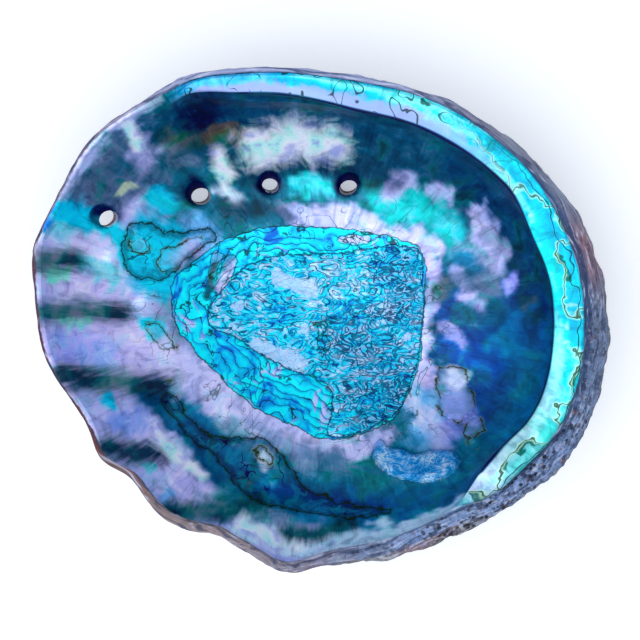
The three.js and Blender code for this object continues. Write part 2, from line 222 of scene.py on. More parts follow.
# Strokes of colour on the inside: a path, its half width, a colour and a strength.
PEARL_STROKES = [
    # grounds
    ([(-75, 29), (-75, 6), (-71, -13), (-55, -36)], 19.5, "lavender", 1),
    ([(-55, -39), (-32, -59), (-10, -70)], 11.7, "lavender", 0.9),
    ([(-78, 42), (-68, 58), (-49, 70)], 9.8, "dusk", 0.9),
    # painted shade on the wall under the ledge, round the top and the right side
    ([(-49, 62), (-19, 67), (20, 62), (49, 45), (68, 19), (73, -3)], 11.7, "wall", 1),
    ([(49, 49), (64, 36), (72, 13), (73, -10)], 7.8, "deep", 0.9),
    ([(44, -3), (59, -7), (60, -26), (52, -42)], 16.3, "ocean", 1),
    ([(68, -7), (67, -26), (55, -46)], 7.2, "teal", 0.8),
    ([(64, 0), (59, -8)], 4.6, "lagoon", 0.6),
    ([(-6, -47), (13, -51), (36, -55), (52, -51)], 10.4, "slate", 0.9),
    ([(-53, -25), (-42, -39), (-27, -52), (-10, -57), (10, -62), (33, -62), (52, -56)], 6.5, "sea", 1),
    ([(-23, -55), (0, -60), (26, -63)], 3.3, "royal", 0.8),
    ([(-31, -57), (-19, -62), (-6, -65)], 4.6, "green", 0.7),
    ([(-6, -65), (20, -67), (46, -62)], 3.9, "teal", 0.7),
    ([(-29, 20), (-33, 10)], 2.6, "lilac", 1),
    ([(-35, 22), (-38, 8)], 1.5, "olive", 0.85),
    ([(7, 27), (16, 27)], 2, "lilac", 0.9),
    ([(-31, -41)], 1.8, "ink_and_shade", 0.7),
    ([(-21, -47)], 1.6, "ink_and_shade", 0.7),
    ([(-25, -53)], 2.4, "olive", 0.7),
    ([(-43, -30), (-38, -36)], 2.2, "teal", 0.6),
    ([(-20, -52), (-14, -54)], 1.6, "lagoon", 0.8),
    ([(-18.5, -45.3)], 2.4, "foam", 0.9),
    ([(-61, 25.5), (-58.5, 25)], 2.6, "pearl", 0.8),
    ([(-51, 20), (-42, 25)], 2.6, "lavender", 0.85),
    ([(-57, -4), (-50, -8)], 2.4, "aqua", 0.8),
    # round the scar
    ([(-50, -12), (-39, -21), (-23, -33), (-6, -38)], 6.5, "lilac", 1),
    ([(-27, -36), (-10, -44), (8, -46)], 4.6, "ash", 0.7),
    ([(0, -41), (10, -42), (21, -39)], 2.9, "lilac", 0.9),
    ([(-11, 36), (7, 33), (26, 30), (37, 25)], 2.8, "lilac", 0.9),
    ([(21, 39), (36, 37), (46, 27)], 4.4, "aqua", 0.7),
    ([(49, 23), (55, 13)], 5.9, "ash", 0.8),
    ([(25, 45), (28, 45)], 3.3, "lilac", 0.9),
    ([(37, 43), (41, 42)], 2.9, "lilac", 0.9),
    ([(53, 36), (55, 31)], 2.9, "lilac", 0.9),
    ([(35, 21), (37, 6), (36, -10), (34, -23)], 2, "lavender", 0.9),
    ([(33, -13), (31, -25)], 3.6, "lavender", 0.85),
    ([(33, -26), (33, -38)], 5, "sky", 0.95),
    ([(36, -33), (40, -41)], 4, "lilac", 0.7),
    ([(30, -24), (31, -34)], 2, "pearl", 0.8),
    ([(44, 16), (50, 8)], 3, "lavender", 0.7),
    ([(57, 26), (60, 19)], 2.5, "lilac", 0.6),
    ([(48, 22), (53, 17)], 3, "teal", 0.7),
    ([(46, -8), (56, -14)], 4, "blue", 0.3),
    ([(62, 2), (70, -4)], 4, "royal", 0.5),
    ([(47, 2), (60, 3)], 3, "wall", 0.8),
    ([(43, -1), (47, -6)], 2.5, "lavender", 0.5),
    ([(44, -23), (46, -31)], 4, "violet", 0.75),
    ([(42, -18), (46, -19)], 3, "pearl", 0.95),
    ([(41, -34), (44, -40)], 3, "violet", 0.5),
    ([(39, 10), (49, 14), (59, 13)], 3.9, "dusk", 0.7),
    ([(41, 10)], 2.6, "olive", 0.6),
    ([(39, -3)], 2.3, "olive", 0.5),
    ([(63, 12), (65, 13)], 2.3, "violet", 0.9),
    ([(68, 8), (72, -3)], 1.3, "olive", 0.6),
    # the wall under the ledge, with painted shade on it, and the hole row, with painted shade round the holes
    ([(-52, 54), (-42, 54)], 2.9, "pearl", 0.5),
    ([(-84, 40), (-78, 52), (-68, 63), (-55, 71)], 2.3, "pearl", 0.7),
    ([(-72, 45), (-62, 50)], 5, "wall", 0.75),
    ([(-80, 50), (-72, 60), (-62, 68)], 3, "lilac", 0.6),
    ([(-60, 58), (-56, 50)], 3, "lavender", 0.5),
    ([(-47, 63), (-22, 72), (3, 73)], 4.6, "deep", 0.75),
    ([(-46, 58), (-40, 62), (-28, 61)], 3, "olive", 0.7),
    ([(-30, 51), (-10, 51), (12, 51), (26, 46)], 3, "ink_and_shade", 0.6),
    ([(-52, 62), (-49, 55), (-46, 52)], 3.3, "olive", 0.6),
    ([(-43, 67), (-39, 69)], 4, "ink_and_shade", 0.8),
    ([(-31, 69), (-26, 67)], 2.9, "deep", 0.8),
    ([(-37, 64), (-27, 64)], 2.3, "umber", 0.8),
    ([(-50, 52), (-39, 55)], 3.3, "wall", 0.7),
    ([(-76, 39), (-65, 42), (-55, 45)], 5.2, "dusk", 0.8),
    # painted shade round each open hole
    ([(-70, 34)], 4.9, "ink_and_shade", 0.95),
    ([(-40, 42)], 4.9, "ink_and_shade", 0.95),
    ([(-17, 45)], 4.9, "ink_and_shade", 0.95),
    ([(8, 45)], 4.6, "ink_and_shade", 0.95),
    ([(-31, 43), (-26, 40)], 2.6, "foam", 0.8),
    ([(-6, 45), (2, 42)], 2.6, "aqua", 0.8),
    ([(-55, 39), (-50, 40)], 2.6, "cyan", 0.7),
    ([(-66, 43), (-62, 43)], 1.6, "straw", 0.7),
    ([(-31, 37), (-19, 36), (-10, 36)], 2.9, "bottle", 0.8),
    ([(-49, 34), (-44, 32)], 2, "bottle", 0.8),
    # lobes of the lip
    ([(-84, 30), (-72, 27), (-64, 25)], 5, "aqua", 0.75),
    ([(-84, 37), (-80, 35), (-70, 29)], 3.6, "cyan", 0.9),
    ([(-87, 36), (-89, 29)], 1.6, "blue", 0.8),
    ([(-65, 27), (-63, 21)], 3.9, "cyan", 0.9),
    ([(-55, 27), (-55, 16)], 7.2, "cyan", 0.9),
    ([(-42, 31), (-37, 26)], 4.6, "sky", 0.8),
    ([(-80, 24), (-71, 23)], 4.2, "lavender", 0.95),
    ([(-88, 15), (-84, 17)], 1.6, "mint", 0.8),
    ([(-78, 18), (-67, 14)], 2.6, "aqua", 0.7),
    ([(-86, -1), (-78, 0)], 1.6, "mint", 0.8),
    ([(-58, -2), (-54, -5)], 2.6, "cyan", 0.9),
    ([(-80, -8), (-71, -12)], 5.9, "violet", 0.8),
    ([(-70, -28)], 2.6, "cyan", 0.9),
    ([(-65, -33), (-60, -34)], 3.9, "bluebell", 0.7),
    ([(-54, -34), (-47, -44)], 2.9, "lilac", 0.8),
    ([(-57, -49)], 1.6, "aqua", 0.8),
    ([(-49, -58)], 2.3, "sky", 0.8),
    ([(-37, -60), (-26, -62)], 2.9, "green", 0.6),
    ([(-27, -67), (-13, -73), (0, -76)], 2.6, "foam", 0.9),
    ([(3, -73), (26, -70), (49, -60)], 2.8, "foam", 0.95),
]

# Painted shade in the folds, and painted glare on the wall and the lobes: a path and its half width.
PAINTED_FOLD_SHADE_STROKES = [
    ([(-93, 19), (-81, 19.5)], 4.2),
    ([(-91, 2.5), (-80, 3.5), (-66, 2)], 4.6),
    ([(-84, -18), (-68, -20), (-52, -22)], 5.6),
    ([(-69, -42), (-61, -44), (-53, -44)], 5.2),
    ([(-48, -63), (-34, -63), (-20, -60)], 4.6),
    ([(-12, -70), (-2, -71), (10, -67)], 3.4),
]
# Painted glare, where the wall and the lobes catch the light.
PAINTED_GLARE_STROKES = [
    ([(-20, 57), (-9, 60), (3, 58)], 8),
    ([(-34, 55), (-31, 48)], 3.4),
    ([(-64, 66), (-60, 58)], 2.6),
    ([(-27, -67), (-14, -72)], 2.3),
    ([(-54, -39), (-39, -51)], 2.6),
]

# How wide the plain margin of the lip is, by bearing.
MARGIN_WIDTHS = [
    (0, 5), (20, 4.6), (40, 2.8), (60, 2), (110, 1.6), (145, 0.2), (200, 0.2), (215, 1.5), (235, 3.6),
    (262, 3.4), (295, 4.6), (318, 3), (332, 4.8), (360, 5),
]  # fmt: skip

# Relief of the whole wall, the way that the holes are bored, and the angle that shading breaks at.
FOLD_DEPTH = 2.6
HOLE_ROW_RISE = 2
SPIRE_RISE, SPIRE_REACH = 4.5, 21
LEAN_AT_RIM, LEAN_POWER = 75, 1.5
BORE_DOWN, BORE_OUT = 0.65, 0.35
SHARP_ANGLE = 50

# The net: rows from the lowest point inside to the lowest outside, and columns that stand
# closer on the folded side.
COLUMN_CROWDING, COLUMN_CROWDING_BEARING = 17, 225
BOWL_ROWS = 66
LEDGE_ROWS = 34
OUTSIDE_ROWS = 78
ROWS = BOWL_ROWS + LEDGE_ROWS + OUTSIDE_ROWS

# The stage, in metres.
FLOOR_REACH = 3
LAMP_SIZE = (1.5, 1.2)
LAMP_PLACE = (-0.2, -0.3, 1.15)
LAMP_AIM = (0, 0, 0.03)
DAYLIGHT = (0.93, 0.96, 1, 1)
SENSOR_WIDTH = 36


# --- Form -----------------------------------------------------------------------------------


def bell(distance, spread):
    return np.exp(-((distance / spread) ** 2))


def smooth(x, low, high):
    share = np.clip((x - low) / (high - low), 0, 1)
    return share * share * (3 - 2 * share)


def mix(a, b, share):
    return a + (b - a) * share


def gap(bearing, start):
    """The signed angle from one bearing to another, from -180 to 180."""
    return (bearing - start + 180) % 360 - 180


def ellipse(form, bearing):
    turn = np.radians(bearing - LONG_AXIS)
    tilt = np.radians(LONG_AXIS)
    start_x = -MIDDLE[0] * np.cos(tilt) - MIDDLE[1] * np.sin(tilt)
    start_y = MIDDLE[0] * np.sin(tilt) - MIDDLE[1] * np.cos(tilt)
    long_2, wide_2 = form.half_length**2, form.half_width**2
    a = np.cos(turn) ** 2 / long_2 + np.sin(turn) ** 2 / wide_2
    b = start_x * np.cos(turn) / long_2 + start_y * np.sin(turn) / wide_2
    c = start_x**2 / long_2 + start_y**2 / wide_2 - 1
    return (np.sqrt(b * b - a * c) - b) / a


def outline(form, bearing, fullness=1.0):
    """Distance from the origin to the outermost wall. Swellings count in full only at the rim."""
    swell = sum(reach * bell(gap(bearing, at), spread) for at, spread, reach in SWELLINGS)
    return ellipse(form, bearing) + swell * fullness


def overhang(bearing):
    return 0.5 + 2 * bell(gap(bearing, 15), 42) + 4.6 * bell(gap(bearing, -43), 36)


def rim_radius(form, bearing, fullness=1.0):
    return outline(form, bearing, fullness) - overhang(bearing)


def rim_height(form, bearing):
    return form.rim_height + SPIRE_SIDE_RISE * np.cos(np.radians(bearing - 30))


def ledge_share(bearing):
    """1 where the ledge is full, 0 where the lip is plain."""
    half = (LEDGE_TO - LEDGE_FROM) / 2
    off = gap(bearing, (LEDGE_FROM + LEDGE_TO) / 2)
    fade = np.where(off < 0, LEDGE_FADE_FROM, LEDGE_FADE_TO)
    return 1 - smooth(np.abs(off), half - fade, half + fade)


def thick_share(bearing):
    """1 where the lip outside the ledge is thickest."""
    off = gap(bearing, 0)
    return smooth(off, 37, 18) * smooth(off, -47, -30)


def lip_thickness(form, bearing):
    thick = np.maximum(thick_share(bearing), 0.8 * bell(gap(bearing, -75), 24))
    return mix(form.thin_lip, form.thick_lip, thick)


def ledge_breadth(bearing):
    """Width of the ledge as a share of its full width: narrower towards the head end."""
    return 0.93 + 0.18 * thick_share(bearing) - 0.25 * smooth(gap(bearing, 0), 72, 108)


def steepness(bearing):
    return 1.45 + 0.35 * np.cos(np.radians(bearing - 20))


def curve(angle, power):
    """A quarter turn of a superellipse, as shares of its reach and its rise."""
    c = np.cos(angle)
    reach = np.clip(np.sin(angle), 0, None) ** (2 / PLAN_POWER)
    return reach, 1 - np.sign(c) * np.abs(c) ** (2 / power)


def placed(bearing, reach, height, low):
    turn = np.radians(bearing)
    x = FOOT[0] * low + reach * np.cos(turn)
    y = FOOT[1] * low + reach * np.sin(turn)
    return np.stack([x, y, height + 0 * x], axis=-1)


def outside_wall(form, bearing, share):
    widest = outline(form, bearing)
    rim_angle = np.pi - np.arcsin((rim_radius(form, bearing) / widest) ** (PLAN_POWER / 2))
    power = steepness(bearing)
    reach, rise = curve(rim_angle * (1 - share), power)
    full_rise = curve(rim_angle, power)[1]
    height = (rim_height(form, bearing) + FOOT_WEAR) * rise / full_rise - FOOT_WEAR
    return placed(bearing, outline(form, bearing, reach**3) * reach, height, (1 - reach) ** 2)


def bowl(form, bearing, angle):
    share = ledge_share(bearing)
    near_top = smooth(np.degrees(angle), 55, 90)
    under_ledge = mix(WALL_UNDER_LEDGE_LOWER, WALL_UNDER_LEDGE_TOP, near_top)
    wall = mix(lip_thickness(form, bearing), under_ledge, share)
    top = rim_height(form, bearing) - mix(0.4, LEDGE_DEPTH, share)
    reach, rise = curve(angle, steepness(bearing))
    radius = (rim_radius(form, bearing, reach**3) - wall) * reach
    return placed(bearing, radius, mix(form.floor_thickness, top, rise), (1 - reach) ** 2)


def top_angle(bearing):
    return np.radians(mix(70, 90, ledge_share(bearing)))


def ledge_stations(form, bearing):
    """Places up the ledge, or up the plain lip where there is no ledge, and the rim last."""
    share = ledge_share(bearing)
    stations = []
    for i, (width, drop) in enumerate(LEDGE_STEPS):
        up = (i + 1) / (len(LEDGE_STEPS) + 0.5)
        plain = bowl(form, bearing, mix(top_angle(bearing), np.radians(90), up))
        breadth = form.ledge_width * ledge_breadth(bearing)
        inward = lip_thickness(form, bearing) + width * breadth * share
        reach = rim_radius(form, bearing) - inward
        ledge = placed(bearing, reach, rim_height(form, bearing) - drop, 0)
        stations.append(mix(plain, ledge, smooth(share, 0, 0.6)[:, None]))
    return stations + [outside_wall(form, bearing, 0)]


def spline(stations, at):
    """A smooth curve through the stations. The first and the last only steer its ends."""
    i = np.minimum(int(at), len(stations) - 4)
    t = at - i
    p, q, r, s = stations[i : i + 4]
    return 0.5 * (
        2 * q + (r - p) * t + (2 * p - 5 * q + 4 * r - s) * t**2 + (3 * q - p - 3 * r + s) * t**3
    )


def distance_to(p, path):
    """Distance in plan from points to a path of one or more places."""
    ends = list(zip(path, path[1:])) or [(path[0], path[0])]
    best = np.full(p.shape[:-1], np.inf)
    for a, b in ends:
        a, line = np.array(a, float), np.array(b, float) - a
        along = np.clip(((p[..., :2] - a) @ line) / max(line @ line, 1e-9), 0, 1)
        best = np.minimum(best, np.hypot(*np.moveaxis(p[..., :2] - a - along[..., None] * line, -1, 0)))
    return best


def depth_inside(p, loop):
    """Distance in plan to a closed outline, positive inside it."""
    x, y = p[..., 0], p[..., 1]
    inside = np.zeros(x.shape, bool)
    for (ax, ay), (bx, by) in zip(loop, loop[1:] + loop[:1]):
        crosses = (ay > y) != (by > y)
        with np.errstate(divide="ignore", invalid="ignore"):
            inside ^= crosses & (x < (bx - ax) * (y - ay) / (by - ay + 1e-12) + ax)
    return np.where(inside, 1, -1) * distance_to(p, loop + loop[:1])


def rounded(loop):
    """Cuts the corners off a closed outline, twice."""
    for _ in range(2):
        pairs = zip(loop, loop[1:] + loop[:1])
        loop = [
            (mix(a[0], b[0], s), mix(a[1], b[1], s)) for a, b in pairs for s in (0.25, 0.75)
        ]
    return loop


def grain(p, size, octaves, seed):
    """Fractal noise about 0 at points in millimetres."""
    flat = p.reshape(-1, 3) / size + seed
    values = [noise.fractal(v, 0.9, 2.1, octaves, noise_basis="PERLIN_ORIGINAL") for v in flat]
    return np.array(values).reshape(p.shape[:-1])


def round_spire(p):
    x, y = p[..., 0] - SPIRE[0], p[..., 1] - SPIRE[1]
    return np.hypot(x, y), np.degrees(np.arctan2(y, x))


def hole_row_radius(bearing):
    return HOLE_ROW_RADIUS * np.exp(SPIRAL_GROWTH * np.radians(bearing - HOLE_ROW_BEARING))


def hole_row(p):
    radius, bearing = round_spire(p)
    off = (radius - hole_row_radius(bearing)) / np.hypot(1, SPIRAL_GROWTH)
    return bell(off, HOLE_ROW_SPREAD) * smooth(bearing, 40, 90)


def closed_holes():
    """Places and sizes of the filled holes that go on from the last open one."""
    places = []
    for i in range(CLOSED_HOLES):
        bearing = LAST_OPEN_HOLE_BEARING - CLOSED_HOLE_STEP * (i + 1)
        radius = hole_row_radius(bearing)
        turn = np.radians(bearing)
        at = (SPIRE[0] + radius * np.cos(turn), SPIRE[1] + radius * np.sin(turn))
        places.append((*at, radius / FULL_SIZE_RADIUS))
    return places


def spread_from(p, x, y):
    return np.hypot(p[..., 0] - x, p[..., 1] - y)


def outwards(form, p):
    """Out of the wall: down at the foot, and more to the side towards the rim."""
    turn = np.arctan2(p[..., 1], p[..., 0])
    share = np.minimum(1, np.hypot(p[..., 0], p[..., 1]) / outline(form, np.degrees(turn)))
    lean = np.radians(LEAN_AT_RIM) * share**LEAN_POWER
    side = np.sin(lean)
    return np.stack([side * np.cos(turn), side * np.sin(turn), -np.cos(lean)], axis=-1)


def net_normals(net):
    """Normals of a net of rows and columns whose columns close into a ring."""
    across = np.roll(net, -1, axis=1) - np.roll(net, 1, axis=1)
    down = np.gradient(net, axis=0)
    normals = np.cross(down, across)
    length = np.linalg.norm(normals, axis=-1, keepdims=True)
    return normals / np.maximum(length, 1e-9)


def fold_relief(p):
    return sum(FOLD_DEPTH * bell(distance_to(p, [a, b]), width) for a, b, width in FOLDS)


def wall_relief(p):
    return HOLE_ROW_RISE * hole_row(p) + SPIRE_RISE * bell(round_spire(p)[0], SPIRE_REACH)


def inside_relief(p, lip):
    """What stands up from the smooth inside."""
    scar = depth_inside(p, rounded(SCAR))
    field = depth_inside(p, rounded(SCAR_FIELD))
    wobble = grain(p, 9, 4, 3.1)
    up = 0.7 * smooth(scar + wobble, -0.6, 0.9) + 0.25 * grain(p, 2.6, 3, 7.7) * (scar > 0)
    terraces = (field + 1.6 * wobble) / 2.7
    steps = terraces - np.floor(terraces)
    up += 0.35 * (np.floor(terraces) + smooth(steps, 0, 0.3)) * (field > 0) * (scar < 0) * 0.5
    up += 1.1 * bell(distance_to(p, SCAR_RIDGE), 2.6)
    up -= 1.2 * bell(distance_to(p, TROUGH) + wobble, 6)
    up += 1.5 * smooth(depth_inside(p, rounded(CRESCENT)) + 0.5 * wobble, -0.3, 1.6)
    up += 1.2 * bell(distance_to(p, [(34, -27), (33, -39)]), 5)
    for loop in ISLANDS:
        up += 0.45 * smooth(depth_inside(p, rounded(loop)), -0.4, 0.8)
    for x, y, size in closed_holes():
        up += 0.7 * bell(spread_from(p, x, y), 2.6 * size)
    for x, y, _height, long, wide, _turn in OPEN_HOLES:
        off = spread_from(p, x, y) - (long + wide) / 2
        up += 0.5 * bell(off - 1.8, 1.2) - 1.1 * bell(np.maximum(off, 0), 1.3)
    fade = smooth(lip, 1, 12)
    return up * fade + 0.55 * grain(p, 21, 2, 1.3) * fade + 0.12 * grain(p, 5, 2, 9.4) * smooth(lip, 0, 4)


def whorls(p):
    radius, bearing = round_spire(p)
    turns_out = np.log((radius + 0.5) / SUTURE_RADIUS) / (2 * np.pi * SUTURE_GROWTH)
    phase = turns_out - ((bearing - SUTURE_BEARING) % 360) / 360
    across = np.sin(np.pi * (phase % 1)) ** 0.6 - 0.5
    height = 5 * bell(radius, SUTURE_REACH) * np.minimum(1, radius / 12)
    return height * np.where(phase < 0, across, -0.5 * bell(phase, 0.12))


def growth(form, p):
    """How far out from the spire a place is: 0 at its tip and 1 at the lip."""
    ring = np.arange(0, 360, 2.0)
    x = outline(form, ring) * np.cos(np.radians(ring)) - SPIRE[0]
    y = outline(form, ring) * np.sin(np.radians(ring)) - SPIRE[1]
    turn = np.degrees(np.arctan2(y, x))
    order = np.argsort(turn)
    radius, bearing = round_spire(p)
    return radius / np.interp(bearing, turn[order], np.hypot(x, y)[order], period=360)


def outside_relief(form, p, lip):
    """What stands out from the smooth outside."""
    wobble = grain(p, 17, 3, 5.2)
    age = growth(form, p) + 0.02 * wobble
    up = whorls(p) + 1 * hole_row(p)
    for x, y, _height, long, wide, _turn in OPEN_HOLES:
        off = spread_from(p, x, y)
        up += 2.1 * bell(np.maximum(off - (long + wide) / 2, 0), 2.4)
    for x, y, size in closed_holes():
        off = spread_from(p, x, y)
        up += size * (1.9 * bell(off, 4.6 * size) - 0.9 * bell(off, 1.9 * size))
    rings = np.sin(2 * np.pi * 21 * age) * 0.28 + np.sin(2 * np.pi * 6.3 * age + 1) * 0.45
    _radius, bearing = round_spire(p)
    cords = 0.16 * np.sin(np.radians(bearing) * 46 + 9 * age)
    crust = smooth(grain(p, 24, 4, 8.8), 0.05, 0.4)
    pits = smooth(grain(p, 4.2, 2, 2.2), 0.18, 0.5)
    fade = smooth(-lip, 0, 9)
    rough = 0.9 * wobble + rings + cords + 0.7 * crust + 0.3 * grain(p, 3.4, 3, 6.1) - 0.45 * pits
    return up * smooth(-lip, 0, 14) + rough * (0.35 + 0.65 * fade) * smooth(-lip, 0, 2)


def shell_net(form):
    """Rows of places from the lowest point inside, over the rim, to the lowest outside, and how
    far each is from the rim along the wall, positive inside."""
    share = np.arange(form.columns) / form.columns
    crowding = np.sin(2 * np.pi * share - np.radians(COLUMN_CROWDING_BEARING))
    bearing = 360 * share - COLUMN_CROWDING * crowding
    rows = [bowl(form, bearing, top_angle(bearing) * i / BOWL_ROWS) for i in range(BOWL_ROWS)]
    before = bowl(form, bearing, top_angle(bearing) * (1 - 1 / BOWL_ROWS))
    after = outside_wall(form, bearing, 2.5 / OUTSIDE_ROWS)
    stations = [before, bowl(form, bearing, top_angle(bearing))]
    stations += ledge_stations(form, bearing) + [after]
    spans = len(stations) - 3
    rows += [spline(stations, spans * i / LEDGE_ROWS) for i in range(LEDGE_ROWS)]
    rows += [outside_wall(form, bearing, i / OUTSIDE_ROWS) for i in range(OUTSIDE_ROWS + 1)]
    net = np.array(rows)
    rim = BOWL_ROWS + LEDGE_ROWS
    for _ in range(4):  # rounds the lip
        near = slice(rim - 5, rim + 6)
        net[near] = (net[rim - 6 : rim + 5] + 2 * net[near] + net[rim - 4 : rim + 7]) / 4
    steps = np.linalg.norm(np.diff(net, axis=0), axis=-1)
    run = np.concatenate([np.zeros((1, form.columns)), np.cumsum(steps, axis=0)])
    return net, run[rim] - run, np.broadcast_to(bearing, run.shape)


def shaped_net(form):
    """The net with all its relief, and its measures."""
    net, lip, bearing = shell_net(form)
    rim = BOWL_ROWS + LEDGE_ROWS
    whole = wall_relief(net)[..., None] * outwards(form, net)
    dip = fold_relief(net)
    base = net
    net = net + whole
    net[..., 2] -= dip
    normals = net_normals(net)
    if normals[0, :, 2].mean() < 0:
        normals = -normals
    own = np.zeros(lip.shape)
    own[:rim] = inside_relief(base[:rim], lip[:rim])
    own[rim:] = outside_relief(form, base[rim:], lip[rim:])
    net = net + normals * own[..., None]
    net[..., 2] = np.where(lip < 0, np.maximum(net[..., 2], 0), net[..., 2])
    return net, lip, bearing, base


# --- Colour ---------------------------------------------------------------------------------


def linear(colour):
    """The shader's linear values of a colour that is given as it looks."""
    c = np.asarray(colour, float)
    return np.where(c <= 0.04045, c / 12.92, ((c + 0.055) / 1.055) ** 2.4)


def laid(colours, weight, colour):
    return mix(colours, linear(colour), np.clip(weight, 0, 1)[..., None])


def pearl_wash(p):
    """The broad colours of the inside."""
    level = np.zeros(p.shape[:-1])
    colours = np.tile(linear(PEARL_COLOURS["slate"]), (*level.shape, 1))
    drift = np.stack([grain(p, 13, 3, 11.5), grain(p, 13, 3, 17.5), level], axis=-1)
    fray = np.stack([grain(p, 4.2, 2, 51.5), grain(p, 4.2, 2, 57.5), level], axis=-1)
    moved = p + 3.6 * drift + 1.7 * fray
    for path, width, name, strength in PEARL_STROKES:
        weight = smooth(distance_to(moved, path) / width, 1.6, 0.45)
        colours = laid(colours, weight * strength, PEARL_COLOURS[name])
    return colours


def stroke_mask(p, strokes):
    """How deep a place is in any of the strokes: over 0 inside, in shares of the half width."""
    depth = [1 - distance_to(p, path) / width for path, width in strokes]
    return np.clip(np.max(depth, axis=0), -2, 1)


CRUST_COLOURS = {
    "brick": (0.45, 0.27, 0.25),
    "rose": (0.6, 0.45, 0.44),
    "ash": (0.5, 0.53, 0.58),
    "slate": (0.33, 0.4, 0.5),
    "chalk": (0.74, 0.74, 0.74),
    "moss": (0.38, 0.4, 0.33),
    "lip_red": (0.36, 0.17, 0.18),
    "lip_tan": (0.58, 0.52, 0.53),
    "lip_rose": (0.58, 0.45, 0.5),
    "lip_grey": (0.44, 0.5, 0.62),
    "lip_mauve": (0.62, 0.66, 0.84),
    "lip_pit": (0.42, 0.53, 0.72),
}


def crust_wash(form, p, lip, bearing):
    """The broad colours of the outside and of the plain margin."""
    age = growth(form, p)
    drift = grain(p, 19, 3, 21.5)
    colours = np.tile(linear(CRUST_COLOURS["rose"]), (*lip.shape, 1))
    bands = 0.5 + 0.5 * np.sin(2 * np.pi * (7 * age + 0.5 * drift))
    colours = laid(colours, smooth(bands, 0.45, 0.8) * 0.85, CRUST_COLOURS["brick"])
    colours = laid(colours, smooth(grain(p, 16, 4, 31), 0.02, 0.3) * 0.8, CRUST_COLOURS["ash"])
    colours = laid(colours, smooth(grain(p, 24, 4, 8.8), 0.05, 0.4) * 0.8, CRUST_COLOURS["chalk"])
    colours = laid(colours, smooth(grain(p, 11, 4, 41), 0.22, 0.4) * 0.6, CRUST_COLOURS["moss"])
    behind = bell(gap(bearing, -15), 55)
    colours = laid(colours, behind * smooth(lip, -26, -8) * 0.9, CRUST_COLOURS["slate"])
    edge = smooth(lip, mix(-3.5, -11, ledge_share(bearing)), mix(-0.4, -4, ledge_share(bearing)))
    for at, spread, name in [
        (180, 55, "lip_red"),
        (245, 22, "lip_tan"),
        (95, 45, "lip_mauve"),
        (0, 45, "lip_grey"),
        (14, 7, "lip_rose"),
        (310, 38, "lip_pit"),
    ]:
        colours = laid(colours, 1.3 * bell(gap(bearing, at), spread) * edge, CRUST_COLOURS[name])
    inner_lip = smooth(lip, 0.3, 2.4) * ledge_share(bearing) * (1 - 0.8 * bell(gap(bearing, -50), 25))
    return laid(colours, inner_lip * 0.85, (0.16, 0.27, 0.44))


def ledge_wash(colours, across, bearing):
    """Cyan outside and lilac inside at the head end, paler and greener towards the spire, and painted shade
    on the wall under it.
    """
    on = smooth(across, -0.4, 0.4) * smooth(across, 11, 10.4) * smooth(ledge_share(bearing), 0.15, 0.5)
    tip = smooth(bearing, 92, 108) * (bearing < 180)
    low = smooth(gap(bearing, 0), 5, -35)
    colours = laid(colours, on, (0, 0.76, 0.86))
    tone = grain(np.stack([4 * across, 0.6 * bearing, 0 * across], axis=-1), 14, 3, 71.5)
    colours = laid(colours, on * smooth(tone, 0.05, 0.45) * 0.7, (0.6, 0.95, 0.94))
    colours = laid(colours, on * smooth(tone, -0.05, -0.4) * 0.75, (0, 0.66, 0.78))
    colours = laid(colours, on * tip * 0.7, PEARL_COLOURS["sky"])
    colours = laid(colours, on * low * 0.75, (0.55, 0.88, 0.82))
    colours = laid(colours, on * low * smooth(across, 4, 8) * 0.65, (0.76, 0.84, 0.9))
    colours = laid(colours, on * bell(gap(bearing, -46), 5) * 0.7, PEARL_COLOURS["lilac"])
    middle = bell(gap(bearing, 12), 14) * smooth(across, 4, 8)
    colours = laid(colours, on * middle * 0.7, PEARL_COLOURS["aqua"])
    # Painted shade on the wall under the inner edge of the ledge.
    wall = smooth(across, 10.4, 11) * smooth(across, 24, 12) * smooth(ledge_share(bearing), 0.3, 0.8)
    return laid(colours, wall * 0.9, PEARL_COLOURS["deep"])


def measures(form, base, lip, bearing):
    """What the finish reads at each place."""
    thick = lip_thickness(form, bearing)
    across = (lip - thick) / ledge_breadth(bearing)
    margin = np.interp(bearing % 360, *np.array(MARGIN_WIDTHS, float).T)
    islands = np.max([depth_inside(base, rounded(loop)) for loop in ISLANDS], axis=0)
    pools = np.max([depth_inside(base, rounded(loop)) for loop in POOLS], axis=0)
    holes = np.min([spread_from(base, x, y) for x, y, *_ in OPEN_HOLES], axis=0)
    wash = ledge_wash(pearl_wash(base), across, bearing)
    return {
        "lip": lip - margin,
        "across": across,
        "ledge": ledge_share(bearing),
        "scar": depth_inside(base, rounded(SCAR)),
        "field": depth_inside(base, rounded(SCAR_FIELD)),
        "crescent": depth_inside(base, rounded(CRESCENT)),
        "islands": islands,
        "pools": pools,
        "head": smooth(bearing, 20, 70) * (bearing < 180),
        "calm": stroke_mask(base, SCAR_CALM),
        "gaps": stroke_mask(base, BAND_GAPS),
        "crowded": stroke_mask(base, SCAR_CROWDED),
        "pitted": bell(gap(bearing, -42), 42) * smooth(lip, 4.8, 2),
        "holes": holes,
        "painted_fold_shade": stroke_mask(base, PAINTED_FOLD_SHADE_STROKES),
        "painted_glare": stroke_mask(base, PAINTED_GLARE_STROKES),
        "wash": wash,
        "crust": crust_wash(form, base, lip, bearing),
    }


